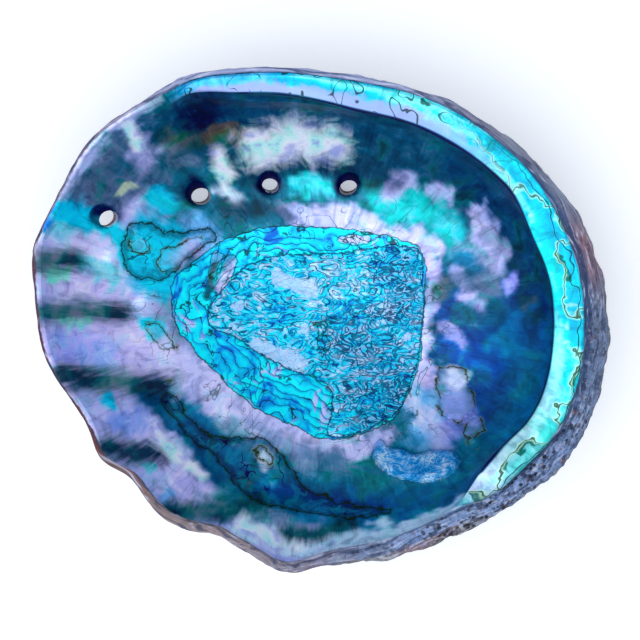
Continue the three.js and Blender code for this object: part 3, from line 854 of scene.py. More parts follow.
class Finish:
    """Adds nodes to one material and joins them."""

    def __init__(self, name):
        self.material = bpy.data.materials.new(name)
        self.material.use_nodes = True
        self.tree = self.material.node_tree
        self.shader = self.tree.nodes["Principled BSDF"]
        self.place = self.add("ShaderNodeTexCoord").outputs["Object"]

    def add(self, kind, values=(), **settings):
        node = self.tree.nodes.new(kind)
        for name, value in settings.items():
            setattr(node, name, value)
        for socket, value in dict(values).items():
            self.put(node.inputs[socket], value)
        return node

    def put(self, socket, value):
        if isinstance(value, bpy.types.NodeSocket):
            self.tree.links.new(value, socket)
        else:
            socket.default_value = value

    def measure(self, name):
        return self.add("ShaderNodeAttribute", attribute_name=name).outputs["Fac"]

    def wash(self, name):
        return self.add("ShaderNodeAttribute", attribute_name=name).outputs["Color"]

    def maths(self, operation, a, b=0.0, c=0.0):
        values = {0: a, 1: b, 2: c}
        return self.add("ShaderNodeMath", values, operation=operation).outputs[0]

    def plus(self, a, b):
        return self.maths("ADD", a, b)

    def times(self, a, b):
        return self.maths("MULTIPLY", a, b)

    def step(self, value, low, high):
        """0 below low and 1 above high, or the other way round if low is over high."""
        values = {"Value": value, "From Min": low, "From Max": high}
        kind = "ShaderNodeMapRange"
        return self.add(kind, values, interpolation_type="SMOOTHSTEP").outputs["Result"]

    def line(self, value, half_width, softness=0.5):
        """1 where a value is near 0."""
        off = self.maths("ABSOLUTE", value)
        return self.step(off, half_width * (1 + softness), half_width * (1 - softness))

    def stretched(self, vector, scale, turn):
        values = {"Vector": vector, "Scale": scale, "Rotation": (0, 0, np.radians(turn))}
        return self.add("ShaderNodeMapping", values).outputs["Vector"]

    def noise(self, size, detail, roughness=0.5, distortion=0.0, vector=None):
        """Noise from 0 to 1 with features of the given size in millimetres."""
        values = {
            "Vector": self.place if vector is None else vector,
            "Scale": 1 / (size * MM),
            "Detail": detail,
            "Roughness": roughness,
            "Distortion": distortion,
        }
        return self.add("ShaderNodeTexNoise", values).outputs[0]

    def about_zero(self, value, reach):
        return self.maths("MULTIPLY_ADD", value, 2 * reach, -reach)

    def over(self, below, above, share, blend="MIX"):
        node = self.add("ShaderNodeMix", data_type="RGBA", blend_type=blend, clamp_factor=True)
        self.put(node.inputs[0], share)
        self.put(node.inputs[6], below)
        self.put(node.inputs[7], above)
        return node.outputs[2]

    def ramp(self, value, stops):
        node = self.add("ShaderNodeValToRGB", {"Fac": value})
        ramp = node.color_ramp
        while len(ramp.elements) < len(stops):
            ramp.elements.new(1.0)
        for element, (at, colour) in zip(ramp.elements, stops):
            element.position = at
            element.color = (*linear(colour), 1)
        return node.outputs["Color"]


def solid(colour):
    return (*linear(colour), 1)


def radial(finish, around, along):
    """Object places as streaks that run in and out: fine around the bowl and long across it."""
    split = finish.add("ShaderNodeSeparateXYZ", {0: finish.place}).outputs
    flat = finish.add("ShaderNodeCombineXYZ", {0: split[0], 1: split[1]}).outputs[0]
    unit = finish.add("ShaderNodeVectorMath", {0: flat}, operation="NORMALIZE").outputs[0]
    wide = finish.add("ShaderNodeVectorMath", {0: unit, "Scale": around * MM}, operation="SCALE")
    length = finish.add("ShaderNodeVectorMath", {0: flat}, operation="LENGTH").outputs["Value"]
    deep = finish.add("ShaderNodeCombineXYZ", {2: finish.times(length, along)}).outputs[0]
    return finish.add("ShaderNodeVectorMath", {0: wide.outputs[0], 1: deep}, operation="ADD").outputs[0]


class Nacre(Finish):
    """The finish of the whole shell, with the patterns that its parts share."""

    def __init__(self, colours):
        super().__init__("nacre")
        self.seam = solid(colours.growth_line)
        self.navy = solid(colours.scar_line)
        streaks = radial(self, 90, 0.22)
        self.silk = self.noise(3.4, 3, 0.6, 0.3, vector=streaks)
        self.fine_silk = self.noise(1.3, 2, 0.6, vector=streaks)
        self.drift = self.noise(15, 3, 0.55)
        self.ripple = self.about_zero(self.noise(5, 3, 0.6), 1.0)
        self.tremble = self.about_zero(self.noise(1.6, 2, 0.6), 1.0)


def smooth_nacre(f):
    """Smooth nacre: the wash, with drifting bloom and radial silk."""
    pearl = f.wash("wash")
    bloom = f.ramp(
        f.noise(11, 3, 0.6, 0.6),
        [
            (0.3, (0.08, 0.42, 0.58)),
            (0.42, (0.42, 0.58, 0.8)),
            (0.52, (0.74, 0.72, 0.93)),
            (0.6, (0.2, 0.78, 0.78)),
            (0.72, (0.1, 0.42, 0.42)),
        ],
    )
    pearl = f.over(pearl, bloom, 0.4, "SOFT_LIGHT")
    pearl = f.over(pearl, bloom, 0.06)
    f.cloud = f.noise(7, 4, 0.62, 0.8)
    pearl = f.over(pearl, (0, 0.02, 0.04, 1), f.times(f.step(f.cloud, 0.5, 0.36), 0.3))
    pearl = f.over(pearl, (1, 1, 1, 1), f.times(f.step(f.cloud, 0.54, 0.7), 0.5), "SOFT_LIGHT")
    pearl = f.over(pearl, (1, 1, 1, 1), f.times(f.step(f.silk, 0.54, 0.76), 0.4), "SOFT_LIGHT")
    pearl = f.over(pearl, solid((0.05, 0.15, 0.27)), f.times(f.step(f.silk, 0.46, 0.3), 0.26))
    pearl = f.over(pearl, solid((0.1, 0.2, 0.3)), f.times(f.step(f.fine_silk, 0.42, 0.28), 0.2))
    return pearl


def painted_fold_shade_and_glare(f, pearl):
    """Feathered painted shade in the folds, and painted glare."""
    # Painted shade in the folds, feathered along the silk.
    feather = f.plus(f.about_zero(f.silk, 1.0), f.about_zero(f.fine_silk, 0.5))
    painted_fold_shade = f.step(f.plus(f.measure("painted_fold_shade"), f.times(feather, 0.8)), -0.4, 0.85)
    fold_shade_tone = f.ramp(
        f.plus(f.drift, f.about_zero(f.fine_silk, 0.08)),
        [
            (0.4, (0.11, 0.21, 0.26)),
            (0.5, (0.1, 0.33, 0.36)),
            (0.58, (0.25, 0.43, 0.44)),
            (0.66, (0.4, 0.44, 0.52)),
        ],
    )
    pearl = f.over(pearl, fold_shade_tone, f.times(painted_fold_shade, 0.95))
    # Painted glare on the wall and the lobes, with a cloudy edge.
    cloudy_edge = f.plus(f.about_zero(f.cloud, 0.8), f.about_zero(f.silk, 0.2))
    painted_glare = f.step(f.plus(f.measure("painted_glare"), cloudy_edge), -0.35, 0.8)
    glare_tone = f.ramp(
        f.noise(8, 3),
        [
            (0.36, (0.7, 0.72, 0.92)),
            (0.5, (0.93, 0.94, 1)),
            (0.62, (0.74, 0.95, 0.94)),
            (0.7, (0.66, 0.7, 0.92)),
        ],
    )
    pearl = f.over(pearl, glare_tone, f.times(painted_glare, 0.9))
    return pearl


def growth_lines(f, pearl):
    """Thin growth lines, where a layer of nacre stops."""
    layers = f.times(f.noise(17, 3, 0.5, 0.5), 8)
    contour = f.maths("PINGPONG", layers, 0.5)
    contours = f.times(f.step(contour, 0.05, 0.02), f.step(f.noise(23, 1), 0.5, 0.56))
    near_field = f.times(f.step(f.measure("field"), -20, -5), f.step(f.measure("across"), 22, 34))
    pearl = f.over(pearl, f.seam, f.times(contours, f.times(near_field, 0.6)))
    return pearl


def pools_and_islands(f, pearl):
    """Pools and islands of nacre with a line round each."""
    seen = f.step(f.noise(10, 1), 0.4, 0.5)
    f.pools = f.plus(f.measure("pools"), f.plus(f.times(f.ripple, 2.4), f.times(f.tremble, 0.5)))
    pearl = f.over(pearl, solid((0.02, 0.17, 0.26)), f.times(f.line(f.plus(f.pools, -0.5), 1.2, 0.8), 0.55))
    pearl = f.over(pearl, f.seam, f.times(f.line(f.pools, 0.24), 0.85))
    blobs = f.maths("PINGPONG", f.times(f.noise(7, 1.5, 0.5, 0.6), 4), 0.5)
    blob_lines = f.times(f.step(blobs, 0.07, 0.03), f.step(f.noise(11, 1), 0.46, 0.52))
    in_pool = f.step(f.pools, 0.4, 1.4)
    pearl = f.over(pearl, solid((0.06, 0.5, 0.62)), f.times(in_pool, f.times(f.step(blobs, 0.3, 0.46), 0.45)))
    pearl = f.over(pearl, f.navy, f.times(in_pool, f.times(blob_lines, 0.8)))
    f.islands = f.plus(f.measure("islands"), f.plus(f.times(f.ripple, 2.8), f.times(f.tremble, 0.7)))
    pearl = f.over(pearl, solid((0.7, 0.82, 0.96)), f.times(f.step(f.islands, 0.0, 1.6), 0.22))
    pearl = f.over(pearl, solid((0.42, 0.45, 0.34)), f.times(f.line(f.islands, 0.7, 0.6), f.times(seen, 0.5)))
    pearl = f.over(pearl, f.seam, f.times(f.line(f.islands, 0.22), f.times(seen, 0.85)))
    return pearl


def ledge_seams(f, pearl):
    """The ledge: cyan to the outside, lilac cloud to the inside, wavy dark seams along it, and a painted
    shadow line at its inner edge.
    """
    ledge_on = f.times(f.step(f.measure("ledge"), 0.2, 0.45), f.step(f.measure("across"), 10.7, 10.2))
    along = f.plus(f.measure("across"), f.plus(f.times(f.ripple, 3.6), f.times(f.about_zero(f.drift, 1), 4)))
    cloudy = f.times(f.step(f.plus(along, f.times(f.tremble, 1.5)), 4.5, 8), f.measure("head"))
    pearl = f.over(pearl, solid((0.62, 0.64, 0.86)), f.times(f.times(ledge_on, cloudy), 0.85))
    low_ledge = f.maths("SUBTRACT", 1.0, f.times(f.measure("head"), 0.9))
    seam_drift = f.plus(f.about_zero(f.drift, 16), f.plus(f.times(f.tremble, 0.3), -4.4))
    seam_a = f.plus(f.measure("across"), seam_drift)
    seam_drift = f.plus(f.about_zero(f.noise(12, 2), 7), f.plus(f.times(f.ripple, 0.5), -2))
    seam_b = f.plus(f.measure("across"), seam_drift)
    seams = f.maths("MAXIMUM", f.line(seam_a, 0.3), f.line(seam_b, 0.24))
    cells = f.maths("PINGPONG", f.times(f.noise(10, 1.5, 0.5, 0.4), 5), 0.5)
    cell_lines = f.times(f.step(cells, 0.075, 0.035), f.step(f.noise(16, 1), 0.4, 0.46))
    cell_lines = f.times(cell_lines, f.measure("head"))
    seams = f.maths("MAXIMUM", f.times(seams, low_ledge), cell_lines)
    moss = f.times(f.line(f.plus(seam_a, 1.1), 1.1, 0.4), f.step(f.noise(8, 1.5), 0.5, 0.54))
    moss = f.times(ledge_on, f.times(moss, f.times(low_ledge, 0.85)))
    pearl = f.over(pearl, solid((0.13, 0.34, 0.3)), moss)
    halo = f.times(f.line(seam_a, 0.9, 0.6), low_ledge)
    pearl = f.over(pearl, solid((0.75, 0.93, 0.84)), f.times(ledge_on, f.times(halo, 0.5)))
    pearl = f.over(pearl, f.seam, f.times(ledge_on, f.times(seams, 0.85)))
    groove = f.line(f.plus(f.measure("across"), f.times(f.tremble, 0.3)), 0.45)
    pearl = f.over(pearl, f.navy, f.times(f.step(f.measure("ledge"), 0.3, 0.6), f.times(groove, 0.85)))
    # A painted shadow line along the inner edge of the ledge.
    brink_shadow = f.line(f.plus(f.measure("across"), -10.9), 0.55, 0.7)
    pearl = f.over(pearl, f.navy, f.times(f.step(f.measure("ledge"), 0.5, 0.8), f.times(brink_shadow, 0.8)))
    return pearl


def stacked_bands(f, pearl):
    """Stacked bands round the scar."""
    wander = f.about_zero(f.noise(9, 1.5, 0.5, 0.3), 1.0)
    warp = f.plus(f.times(wander, 6.5), f.plus(f.times(f.ripple, 1.3), f.times(f.tremble, 0.35)))
    field = f.plus(f.measure("field"), warp)
    edge = f.plus(f.measure("field"), f.plus(f.times(f.ripple, 1.4), f.times(f.tremble, 0.4)))
    in_field = f.step(edge, -0.3, 0.4)
    band = f.times(field, 1 / 3.0)
    shade = f.maths("FRACT", band)
    tone = f.noise(9, 3, 0.6, 1.0)
    band_tone = f.ramp(
        f.plus(tone, f.times(shade, 0.1)),
        [
            (0.36, (0.05, 0.42, 0.78)),
            (0.43, (0.04, 0.7, 0.93)),
            (0.5, (0.02, 0.86, 0.97)),
            (0.6, (0.1, 0.92, 0.97)),
            (0.66, (0.5, 0.82, 0.95)),
            (0.72, (0.74, 0.78, 0.97)),
        ],
    )
    band_tone = f.over(band_tone, solid((0.02, 0.36, 0.76)), f.times(f.step(shade, 0.45, 0.98), 0.6))
    gap_edge = f.plus(f.measure("gaps"), f.times(f.ripple, 0.9))
    gaps = f.step(gap_edge, 0.0, 0.3)
    whole = f.maths("SUBTRACT", 0.96, f.times(gaps, 0.9))
    pearl = f.over(pearl, band_tone, f.times(in_field, whole))
    pearl = f.over(pearl, f.seam, f.times(f.line(gap_edge, 0.1), f.times(in_field, 0.7)))
    f.band_line = f.times(f.step(f.maths("PINGPONG", band, 0.5), 0.06, 0.025), in_field)
    f.band_line = f.times(f.band_line, f.step(f.noise(12, 1), 0.36, 0.44))
    split = f.maths("PINGPONG", f.times(f.noise(6, 2, 0.5, 0.8), 4), 0.5)
    split_line = f.times(f.times(f.step(split, 0.07, 0.03), f.step(f.noise(8, 1), 0.5, 0.54)), in_field)
    f.band_line = f.maths("MAXIMUM", f.band_line, split_line)
    pearl = f.over(pearl, f.seam, f.times(f.band_line, 0.85))
    pearl = f.over(pearl, f.seam, f.times(f.line(edge, 0.2), 0.8))
    return pearl


def scar_maze(f, pearl):
    """The scar: a maze of fine navy lines over cyan, white and lilac."""
    scar = f.plus(f.measure("scar"), f.plus(f.times(f.ripple, 1.3), f.times(f.tremble, 0.8)))
    f.in_scar = f.step(scar, -0.15, 0.3)
    crowded = f.step(f.plus(f.measure("crowded"), f.ripple), -0.2, 0.5)
    calm_edge = f.plus(f.times(f.ripple, 0.8), f.times(f.tremble, 0.5))
    calm = f.step(f.plus(f.measure("calm"), calm_edge), 0.0, 0.4)
    flow = f.stretched(f.place, (0.8, 1.5, 1), -14)
    maze = f.times(f.noise(6.2, 1.6, 0.5, 0.5, vector=flow), 9)
    twist = f.times(f.noise(5, 1.5, 0.5, 0.9, vector=f.stretched(f.place, (1, 1.25, 1), 40)), 7)
    f.maze_line = f.step(f.maths("PINGPONG", maze, 0.5), 0.15, 0.07)
    twist_line = f.step(f.maths("PINGPONG", twist, 0.5), 0.22, 0.1)
    twist_line = f.times(twist_line, f.plus(0.35, f.times(crowded, 0.65)))
    f.maze_line = f.maths("MAXIMUM", f.maze_line, twist_line)
    steps = f.maths("PINGPONG", f.plus(f.times(maze, 0.5), f.times(twist, 0.25)), 0.5)
    patches = f.plus(f.times(steps, 0.5), f.about_zero(f.noise(13, 2), 0.22))
    fill = f.plus(f.noise(4, 3, 0.65, 0.6, vector=flow), patches)
    scar_tone = f.ramp(
        fill,
        [
            (0.4, (0.05, 0.5, 0.8)),
            (0.5, (0.07, 0.74, 0.94)),
            (0.58, (0.2, 0.88, 0.98)),
            (0.68, (0.5, 0.8, 0.98)),
            (0.84, (0.74, 0.88, 1)),
        ],
    )
    scar_tone = f.over(scar_tone, solid((0.33, 0.52, 0.7)), f.times(crowded, 0.42))
    scar_tone = f.over(scar_tone, solid((0.72, 0.8, 0.95)), f.times(calm, 0.75))
    f.maze_line = f.times(f.maze_line, f.maths("SUBTRACT", 1.0, f.times(calm, 0.8)))
    inked = f.times(f.maze_line, f.step(f.noise(5.5, 2), 0.28, 0.6))
    scar_colour = f.over(scar_tone, f.navy, f.plus(f.times(f.maze_line, 0.5), f.times(inked, 0.3)))
    pearl = f.over(pearl, scar_colour, f.in_scar)
    pearl = f.over(pearl, f.navy, f.times(f.line(scar, 0.3), 0.7))
    pearl = f.over(pearl, f.seam, f.times(f.times(f.line(f.islands, 0.3), f.in_scar), 0.8))
    return pearl


def crescent_callus(f, pearl):
    """The crescent callus: pale fibres that follow its edge."""
    crescent = f.plus(f.measure("crescent"), f.plus(f.times(f.tremble, 0.8), f.times(f.ripple, 0.8)))
    f.fibres = f.maths("PINGPONG", f.plus(f.times(crescent, 0.5), f.times(f.noise(7, 4, 0.6, 0.9), 8)), 0.5)
    callus = f.ramp(
        f.plus(f.times(f.fibres, 0.42), f.times(f.noise(6, 3), 0.85)),
        [
            (0.28, (0.1, 0.33, 0.55)),
            (0.42, (0.28, 0.56, 0.84)),
            (0.56, (0.46, 0.68, 0.93)),
            (0.68, (0.8, 0.9, 1)),
        ],
    )
    f.on_crescent = f.step(crescent, -0.6, 1.4)
    pearl = f.over(pearl, callus, f.times(f.on_crescent, 0.72))
    pearl = f.over(pearl, f.navy, f.times(f.line(crescent, 0.22), 0.3))
    return pearl


def shade_round_holes(f, pearl):
    """Painted shade round the edge of each hole, and the whole inside is made livelier."""
    # Painted shade round the holes.
    hole_shade = f.step(f.plus(f.measure("holes"), f.times(f.tremble, 0.8)), 4.6, 3.0)
    pearl = f.over(pearl, f.navy, f.times(hole_shade, 0.75))

    vivid = f.add("ShaderNodeHueSaturation", {"Saturation": 1.08, "Value": 1.17, "Color": pearl})
    crisp = f.add("ShaderNodeBrightContrast", {"Color": vivid.outputs["Color"], "Contrast": 0.085})
    pearl = crisp.outputs["Color"]
    return pearl


def outer_crust(f):
    """The crust: growth colours, chalky spots, rust and pits."""
    crust = f.wash("crust")
    f.gritty = f.noise(1.3, 4, 0.7)
    behind = f.step(f.measure("lip"), -5, -14)
    f.rocky = f.maths("MAXIMUM", f.measure("pitted"), behind)
    pit_cells = f.add("ShaderNodeTexVoronoi", {"Vector": f.place, "Scale": 520.0})
    pit_clusters = f.noise(9, 2)
    pitted_back = f.times(behind, f.step(pit_clusters, 0.54, 0.64))
    pitted_lip = f.times(f.measure("pitted"), f.step(pit_clusters, 0.42, 0.54))
    pit_size = f.plus(0.2, f.times(f.noise(3, 1), 0.3))
    f.pits = f.step(f.maths("SUBTRACT", pit_cells.outputs["Distance"], pit_size), 0.08, -0.08)
    f.pits = f.times(f.pits, f.maths("MAXIMUM", pitted_lip, pitted_back))
    level = f.times(f.plus(f.measure("lip"), f.times(f.about_zero(f.noise(24, 2), 1), 5)), MM)
    layered = f.add("ShaderNodeCombineXYZ", {0: level, 1: f.times(f.noise(40, 1), 0.02)}).outputs[0]
    streak = f.noise(1.5, 2, 0.55, vector=layered)
    on_margin = f.step(f.measure("lip"), -12, -8)
    dark_streak = f.times(f.step(streak, 0.5, 0.38), f.times(on_margin, 0.75))
    pale_streak = f.times(f.step(streak, 0.54, 0.68), f.times(on_margin, 0.6))
    crust = f.over(crust, solid((0.17, 0.24, 0.38)), dark_streak)
    crust = f.over(crust, solid((0.8, 0.84, 0.97)), pale_streak)
    mottle = f.noise(4, 3, 0.65)
    rough_lip = f.times(f.measure("pitted"), f.step(f.measure("lip"), -16, -10))
    dark_mottle = f.times(f.step(mottle, 0.5, 0.38), f.times(rough_lip, 0.85))
    pale_mottle = f.times(f.step(mottle, 0.53, 0.66), f.times(rough_lip, 0.6))
    crust = f.over(crust, solid((0.13, 0.18, 0.31)), dark_mottle)
    crust = f.over(crust, solid((0.6, 0.7, 0.92)), pale_mottle)
    grit_on = f.plus(0.15, f.times(f.rocky, 0.45))
    crust = f.over(crust, solid((0.16, 0.15, 0.17)), f.times(f.step(f.gritty, 0.5, 0.32), grit_on))
    crust = f.over(crust, solid((0.85, 0.84, 0.83)), f.times(f.step(f.gritty, 0.56, 0.72), grit_on))
    rust = f.times(f.step(f.noise(3.2, 3, 0.6), 0.58, 0.68), f.times(f.rocky, 0.65))
    crust = f.over(crust, solid((0.42, 0.24, 0.16)), rust)
    crust = f.over(crust, solid((0.05, 0.06, 0.09)), f.times(f.pits, 0.92))
    return crust


def nacre_and_crust(colours):
    f = Nacre(colours)
    pearl = smooth_nacre(f)
    for laid_over in (
        painted_fold_shade_and_glare,
        growth_lines,
        pools_and_islands,
        ledge_seams,
        stacked_bands,
        scar_maze,
        crescent_callus,
        shade_round_holes,
    ):
        pearl = laid_over(f, pearl)
    crust = outer_crust(f)
    nacre_edge = f.plus(f.measure("lip"), f.plus(f.times(f.ripple, 0.7), f.times(f.tremble, 0.35)))
    inner = f.step(nacre_edge, -0.35, 0.35)
    f.put(f.shader.inputs["Base Color"], f.over(crust, pearl, inner))

    # Gloss inside, matt outside.
    inner_rough = f.plus(0.22, f.plus(f.times(f.drift, 0.12), f.times(f.in_scar, 0.12)))
    outer_rough = f.plus(0.5, f.times(f.gritty, 0.4))
    rough = f.add("ShaderNodeMix", {0: inner, 2: outer_rough, 3: inner_rough}, data_type="FLOAT")
    f.put(f.shader.inputs["Roughness"], rough.outputs[0])
    f.put(f.shader.inputs["Metallic"], f.times(inner, 0.3))
    f.shader.inputs["Specular IOR Level"].default_value = 0.16
    f.shader.inputs["Specular Tint"].default_value = (0.9, 0.96, 1, 1)

    # Fine relief.
    maze_height = f.times(f.times(f.in_scar, f.maze_line), -0.6)
    edges = f.maths("MAXIMUM", f.band_line, f.maths("MAXIMUM", f.line(f.islands, 0.3), f.line(f.pools, 0.3)))
    inner_height = f.plus(maze_height, f.plus(f.times(edges, -0.3), f.times(f.noise(0.8, 2), 0.04)))
    inner_height = f.plus(inner_height, f.times(f.times(f.fibres, f.on_crescent), 0.7))
    outer_height = f.times(f.rocky, f.plus(f.times(f.gritty, 1.1), f.times(f.pits, -1.1)))
    height = f.add("ShaderNodeMix", {0: inner, 2: outer_height, 3: inner_height}, data_type="FLOAT")
    bump = f.add("ShaderNodeBump", {"Height": height.outputs[0], "Strength": 0.55, "Distance": 0.6 * MM})
    f.put(f.shader.inputs["Normal"], bump.outputs["Normal"])
    return f.material


# --- Pieces ---------------------------------------------------------------------------------


def object_from(name, bm):
    mesh = bpy.data.meshes.new(name)
    bm.to_mesh(mesh)
    bm.free()
    made = bpy.data.objects.new(name, mesh)
    bpy.context.scene.collection.objects.link(made)
    return made


def ball_of_rows(columns):
    """A ball of ROWS rows, and for each of its points the row and the column."""
    bm = bmesh.new()
    bmesh.ops.create_uvsphere(bm, u_segments=columns, v_segments=ROWS, radius=1)
    co = np.array([v.co[:] for v in bm.verts])
    row = np.rint(np.arccos(np.clip(co[:, 2], -1, 1)) / np.pi * ROWS).astype(int)
    column = np.rint(np.arctan2(co[:, 1], co[:, 0]) / (2 * np.pi) * columns).astype(int) % columns
    return bm, row, column


def hole_cutter(form):
    """Oval bars where the breathing holes go through the wall."""
    bm = bmesh.new()
    for x, y, height, long, wide, turn in OPEN_HOLES:
        bar = bmesh.ops.create_cone(
            bm, cap_ends=True, segments=HOLE_SIDES, radius1=1, radius2=1, depth=CUTTER_LENGTH
        )["verts"]
        bmesh.ops.scale(bm, verts=bar, vec=(long, wide, 1))
        spun = bmesh.ops.rotate
        spun(bm, verts=bar, cent=(0, 0, 0), matrix=Matrix.Rotation(np.radians(turn), 3, "Z"))
        way = outwards(form, np.array([x, y, 0.0])) * BORE_OUT - np.array([0, 0, BORE_DOWN])
        turn_to = Vector((0, 0, -1)).rotation_difference(Vector(way)).to_matrix()
        spun(bm, verts=bar, cent=(0, 0, 0), matrix=turn_to)
        bmesh.ops.translate(bm, verts=bar, vec=(x, y, height))
    bmesh.ops.scale(bm, verts=bm.verts, vec=(MM, MM, MM))
    bmesh.ops.recalc_face_normals(bm, faces=bm.faces)
    return object_from("hole_cutter", bm)


def cut(piece, cutter):
    piece.modifiers.new("holes", "BOOLEAN")
    modifier = piece.modifiers["holes"]
    modifier.object = cutter
    modifier.operation = "DIFFERENCE"
    modifier.solver = "EXACT"
    bpy.context.view_layer.objects.active = piece
    bpy.ops.object.modifier_apply(modifier="holes")
    bpy.data.objects.remove(cutter)


def store(mesh, name, values):
    kind, width, field = ("FLOAT_COLOR", 4, "color") if values.ndim == 2 else ("FLOAT", 1, "value")
    if width == 4:
        values = np.concatenate([values, np.ones((len(values), 1))], axis=1)
    attribute = mesh.attributes.new(name, kind, "POINT")
    attribute.data.foreach_set(field, np.ascontiguousarray(values, np.float32).ravel())


class AbaloneForm(bpy.types.PropertyGroup):
    """Sizes of the shell, in millimetres."""

    half_length: bpy.props.FloatProperty(
        name="Half length", description="Half of the longest line", default=94, min=20
    )
    half_width: bpy.props.FloatProperty(
        name="Half width", description="Half of the width", default=80.6, min=20
    )
    rim_height: bpy.props.FloatProperty(
        name="Rim height",
        description="Mean height of the rim over the surface",
        default=SHELL_BOX[1][2] / MM - SPIRE_SIDE_RISE,
        min=10,
    )
    floor_thickness: bpy.props.FloatProperty(
        name="Floor thickness", description="Wall thickness at the lowest point", default=5.4, min=1
    )
    thin_lip: bpy.props.FloatProperty(
        name="Thin lip", description="Wall thickness at the folded lip", default=1.7, min=0.5
    )
    thick_lip: bpy.props.FloatProperty(
        name="Thick lip", description="Wall thickness outside the ledge", default=4, min=0.5
    )
    ledge_width: bpy.props.FloatProperty(
        name="Ledge width", description="Width of the flat inner ledge", default=10.2, min=1
    )
    columns: bpy.props.IntProperty(
        name="Columns", description="Columns of faces round the shell", default=480, min=64, max=520
    )


class AbaloneColours(bpy.types.PropertyGroup):
    """Colours that the finish is drawn with, as they look."""

    growth_line: bpy.props.FloatVectorProperty(
        name="Growth line",
        description="Thin line where a layer stops",
        subtype="COLOR_GAMMA",
        default=(0.19, 0.23, 0.15),
    )
    scar_line: bpy.props.FloatVectorProperty(
        name="Scar line",
        description="Fine lines of the scar",
        subtype="COLOR_GAMMA",
        default=(0.03, 0.13, 0.27),
    )


class AbaloneStage(bpy.types.PropertyGroup):
    """The floor, the light and the camera."""

    floor_colour: bpy.props.FloatVectorProperty(
        name="Floor",
        description="Colour of the floor",
        subtype="COLOR_GAMMA",
        default=(0.97, 0.975, 0.98),
    )
    glow_colour: bpy.props.FloatVectorProperty(
        name="Glow colour",
        description="Colour that the floor shines in",
        subtype="COLOR_GAMMA",
        default=(0.86, 0.92, 1),
    )
    glow: bpy.props.FloatProperty(
        name="Glow", description="How much the floor shines, like a light table", default=0.36
    )
    camera_height: bpy.props.FloatProperty(
        name="Camera height", description="Height over the surface", default=1.2, unit="LENGTH"
    )
    lens: bpy.props.FloatProperty(
        name="Lens", description="Focal length", default=198.5, subtype="DISTANCE_CAMERA"
    )
    overhead_power: bpy.props.FloatProperty(
        name="Overhead light", description="Power of the broad light overhead", default=10.2, unit="POWER"
    )
    world_strength: bpy.props.FloatProperty(
        name="World", description="Strength of the light all round", default=0.54
    )


class ABALONE_OT_shell(bpy.types.Operator):
    """Grow the shell"""

    bl_idname = "abalone.shell"
    bl_label = "Shell"

    def execute(self, context):
        form = context.scene.abalone_form
        net, lip, bearing, base = shaped_net(form)
        bm, row, column = ball_of_rows(form.columns)
        for vertex, place in zip(bm.verts, net[row, column] * MM):
            vertex.co = place
        poles = {0: net[0].mean(axis=0), ROWS: net[-1].mean(axis=0)}
        for vertex, at_row in zip(bm.verts, row):
            if at_row in poles:
                vertex.co = poles[at_row] * MM
        shell = object_from("abalone_shell", bm)
        tree = kdtree.KDTree(len(row))
        for i, place in enumerate(net[row, column] * MM):
            tree.insert(place, i)
        tree.balance()
        cut(shell, hole_cutter(form))
        nearest = np.array([tree.find(v.co)[1] for v in shell.data.vertices])
        at = (row[nearest], column[nearest])
        read = measures(form, base, lip, bearing)
        for name, values in read.items():
            store(shell.data, name, values[at])
        shell.data.materials.append(nacre_and_crust(context.scene.abalone_colours))
        shell.data.shade_smooth()
        shell.data.set_sharp_from_angle(angle=np.radians(SHARP_ANGLE))
        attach(shell, "root")
        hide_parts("shell")
        return {"FINISHED"}


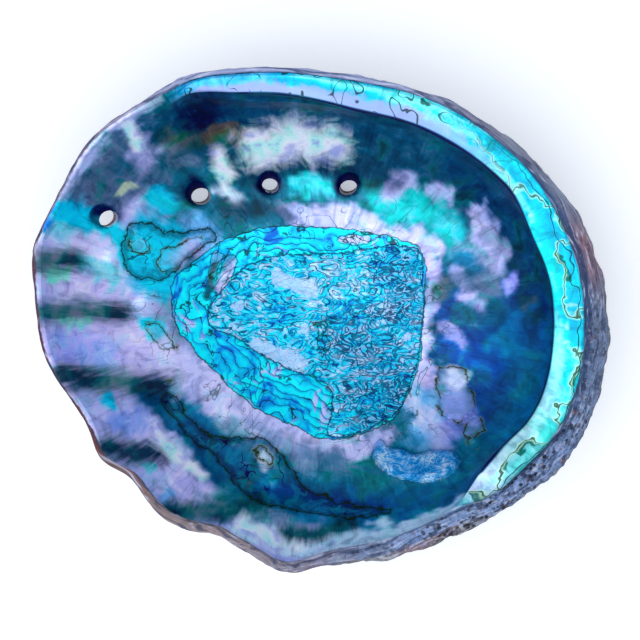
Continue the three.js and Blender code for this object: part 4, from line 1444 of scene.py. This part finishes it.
class ABALONE_OT_stage(bpy.types.Operator):
    """Set the floor, the light and the camera"""

    bl_idname = "abalone.stage"
    bl_label = "Stage"

    def execute(self, context):
        stage = context.scene.abalone_stage
        bm = bmesh.new()
        bmesh.ops.create_grid(bm, x_segments=1, y_segments=1, size=FLOOR_REACH)
        floor = object_from("floor", bm)
        finish = Finish("floor")
        finish.shader.inputs["Base Color"].default_value = solid(stage.floor_colour)
        finish.shader.inputs["Roughness"].default_value = 0.9
        finish.shader.inputs["Emission Color"].default_value = solid(stage.glow_colour)
        finish.shader.inputs["Emission Strength"].default_value = stage.glow
        # Seen from below, the floor is clear, so that the back of the shell shows.
        from_below = finish.add("ShaderNodeNewGeometry").outputs["Backfacing"]
        clear = finish.add("ShaderNodeBsdfTransparent").outputs[0]
        seen = finish.add("ShaderNodeMixShader", {0: from_below, 1: finish.shader.outputs[0], 2: clear})
        finish.put(finish.tree.nodes["Material Output"].inputs["Surface"], seen.outputs[0])
        floor.data.materials.append(finish.material)

        world = bpy.data.worlds.new("studio")
        world.use_nodes = True
        background = world.node_tree.nodes["Background"]
        background.inputs["Color"].default_value = DAYLIGHT
        background.inputs["Strength"].default_value = stage.world_strength
        context.scene.world = world
        light = bpy.data.lights.new("overhead", "AREA")
        light.shape = "RECTANGLE"
        light.size, light.size_y = LAMP_SIZE
        light.energy = stage.overhead_power
        lamp = bpy.data.objects.new("overhead", light)
        lamp.location = LAMP_PLACE
        aim = Vector(LAMP_AIM) - lamp.location
        lamp.rotation_euler = aim.to_track_quat("-Z", "Y").to_euler()
        context.scene.collection.objects.link(lamp)

        camera = bpy.data.objects.new("camera", bpy.data.cameras.new("camera"))
        camera.location = (0, 0, stage.camera_height)
        camera.data.lens = stage.lens
        camera.data.sensor_width = SENSOR_WIDTH
        context.scene.collection.objects.link(camera)
        context.scene.camera = camera
        context.scene.view_settings.view_transform = "Standard"
        return {"FINISHED"}


class ABALONE_PT_panel(bpy.types.Panel):
    """Lists the operators and the sizes"""

    bl_idname = "ABALONE_PT_panel"
    bl_label = "Abalone shell"
    bl_space_type = "VIEW_3D"
    bl_region_type = "UI"
    bl_category = "Abalone"

    def draw(self, context):
        scene = context.scene
        for settings in (scene.abalone_form, scene.abalone_colours, scene.abalone_stage):
            box = self.layout.box()
            for name in settings.__annotations__:
                box.prop(settings, name)
        self.layout.operator(ABALONE_OT_shell.bl_idname)
        self.layout.operator(ABALONE_OT_stage.bl_idname)


CLASSES = (
    AbaloneForm,
    AbaloneColours,
    AbaloneStage,
    ABALONE_OT_shell,
    ABALONE_OT_stage,
    ABALONE_PT_panel,
)


def register():
    for each in CLASSES:
        bpy.utils.register_class(each)
    bpy.types.Scene.abalone_form = bpy.props.PointerProperty(type=AbaloneForm)
    bpy.types.Scene.abalone_colours = bpy.props.PointerProperty(type=AbaloneColours)
    bpy.types.Scene.abalone_stage = bpy.props.PointerProperty(type=AbaloneStage)


def unregister():
    del bpy.types.Scene.abalone_stage
    del bpy.types.Scene.abalone_colours
    del bpy.types.Scene.abalone_form
    for each in reversed(CLASSES):
        bpy.utils.unregister_class(each)


def plain(box):
    return [[float(value) for value in corner] for corner in box]


def main():
    register()
    bpy.ops.abalone.shell()
    bpy.ops.abalone.stage()


if __name__ == "__main__":
    main()
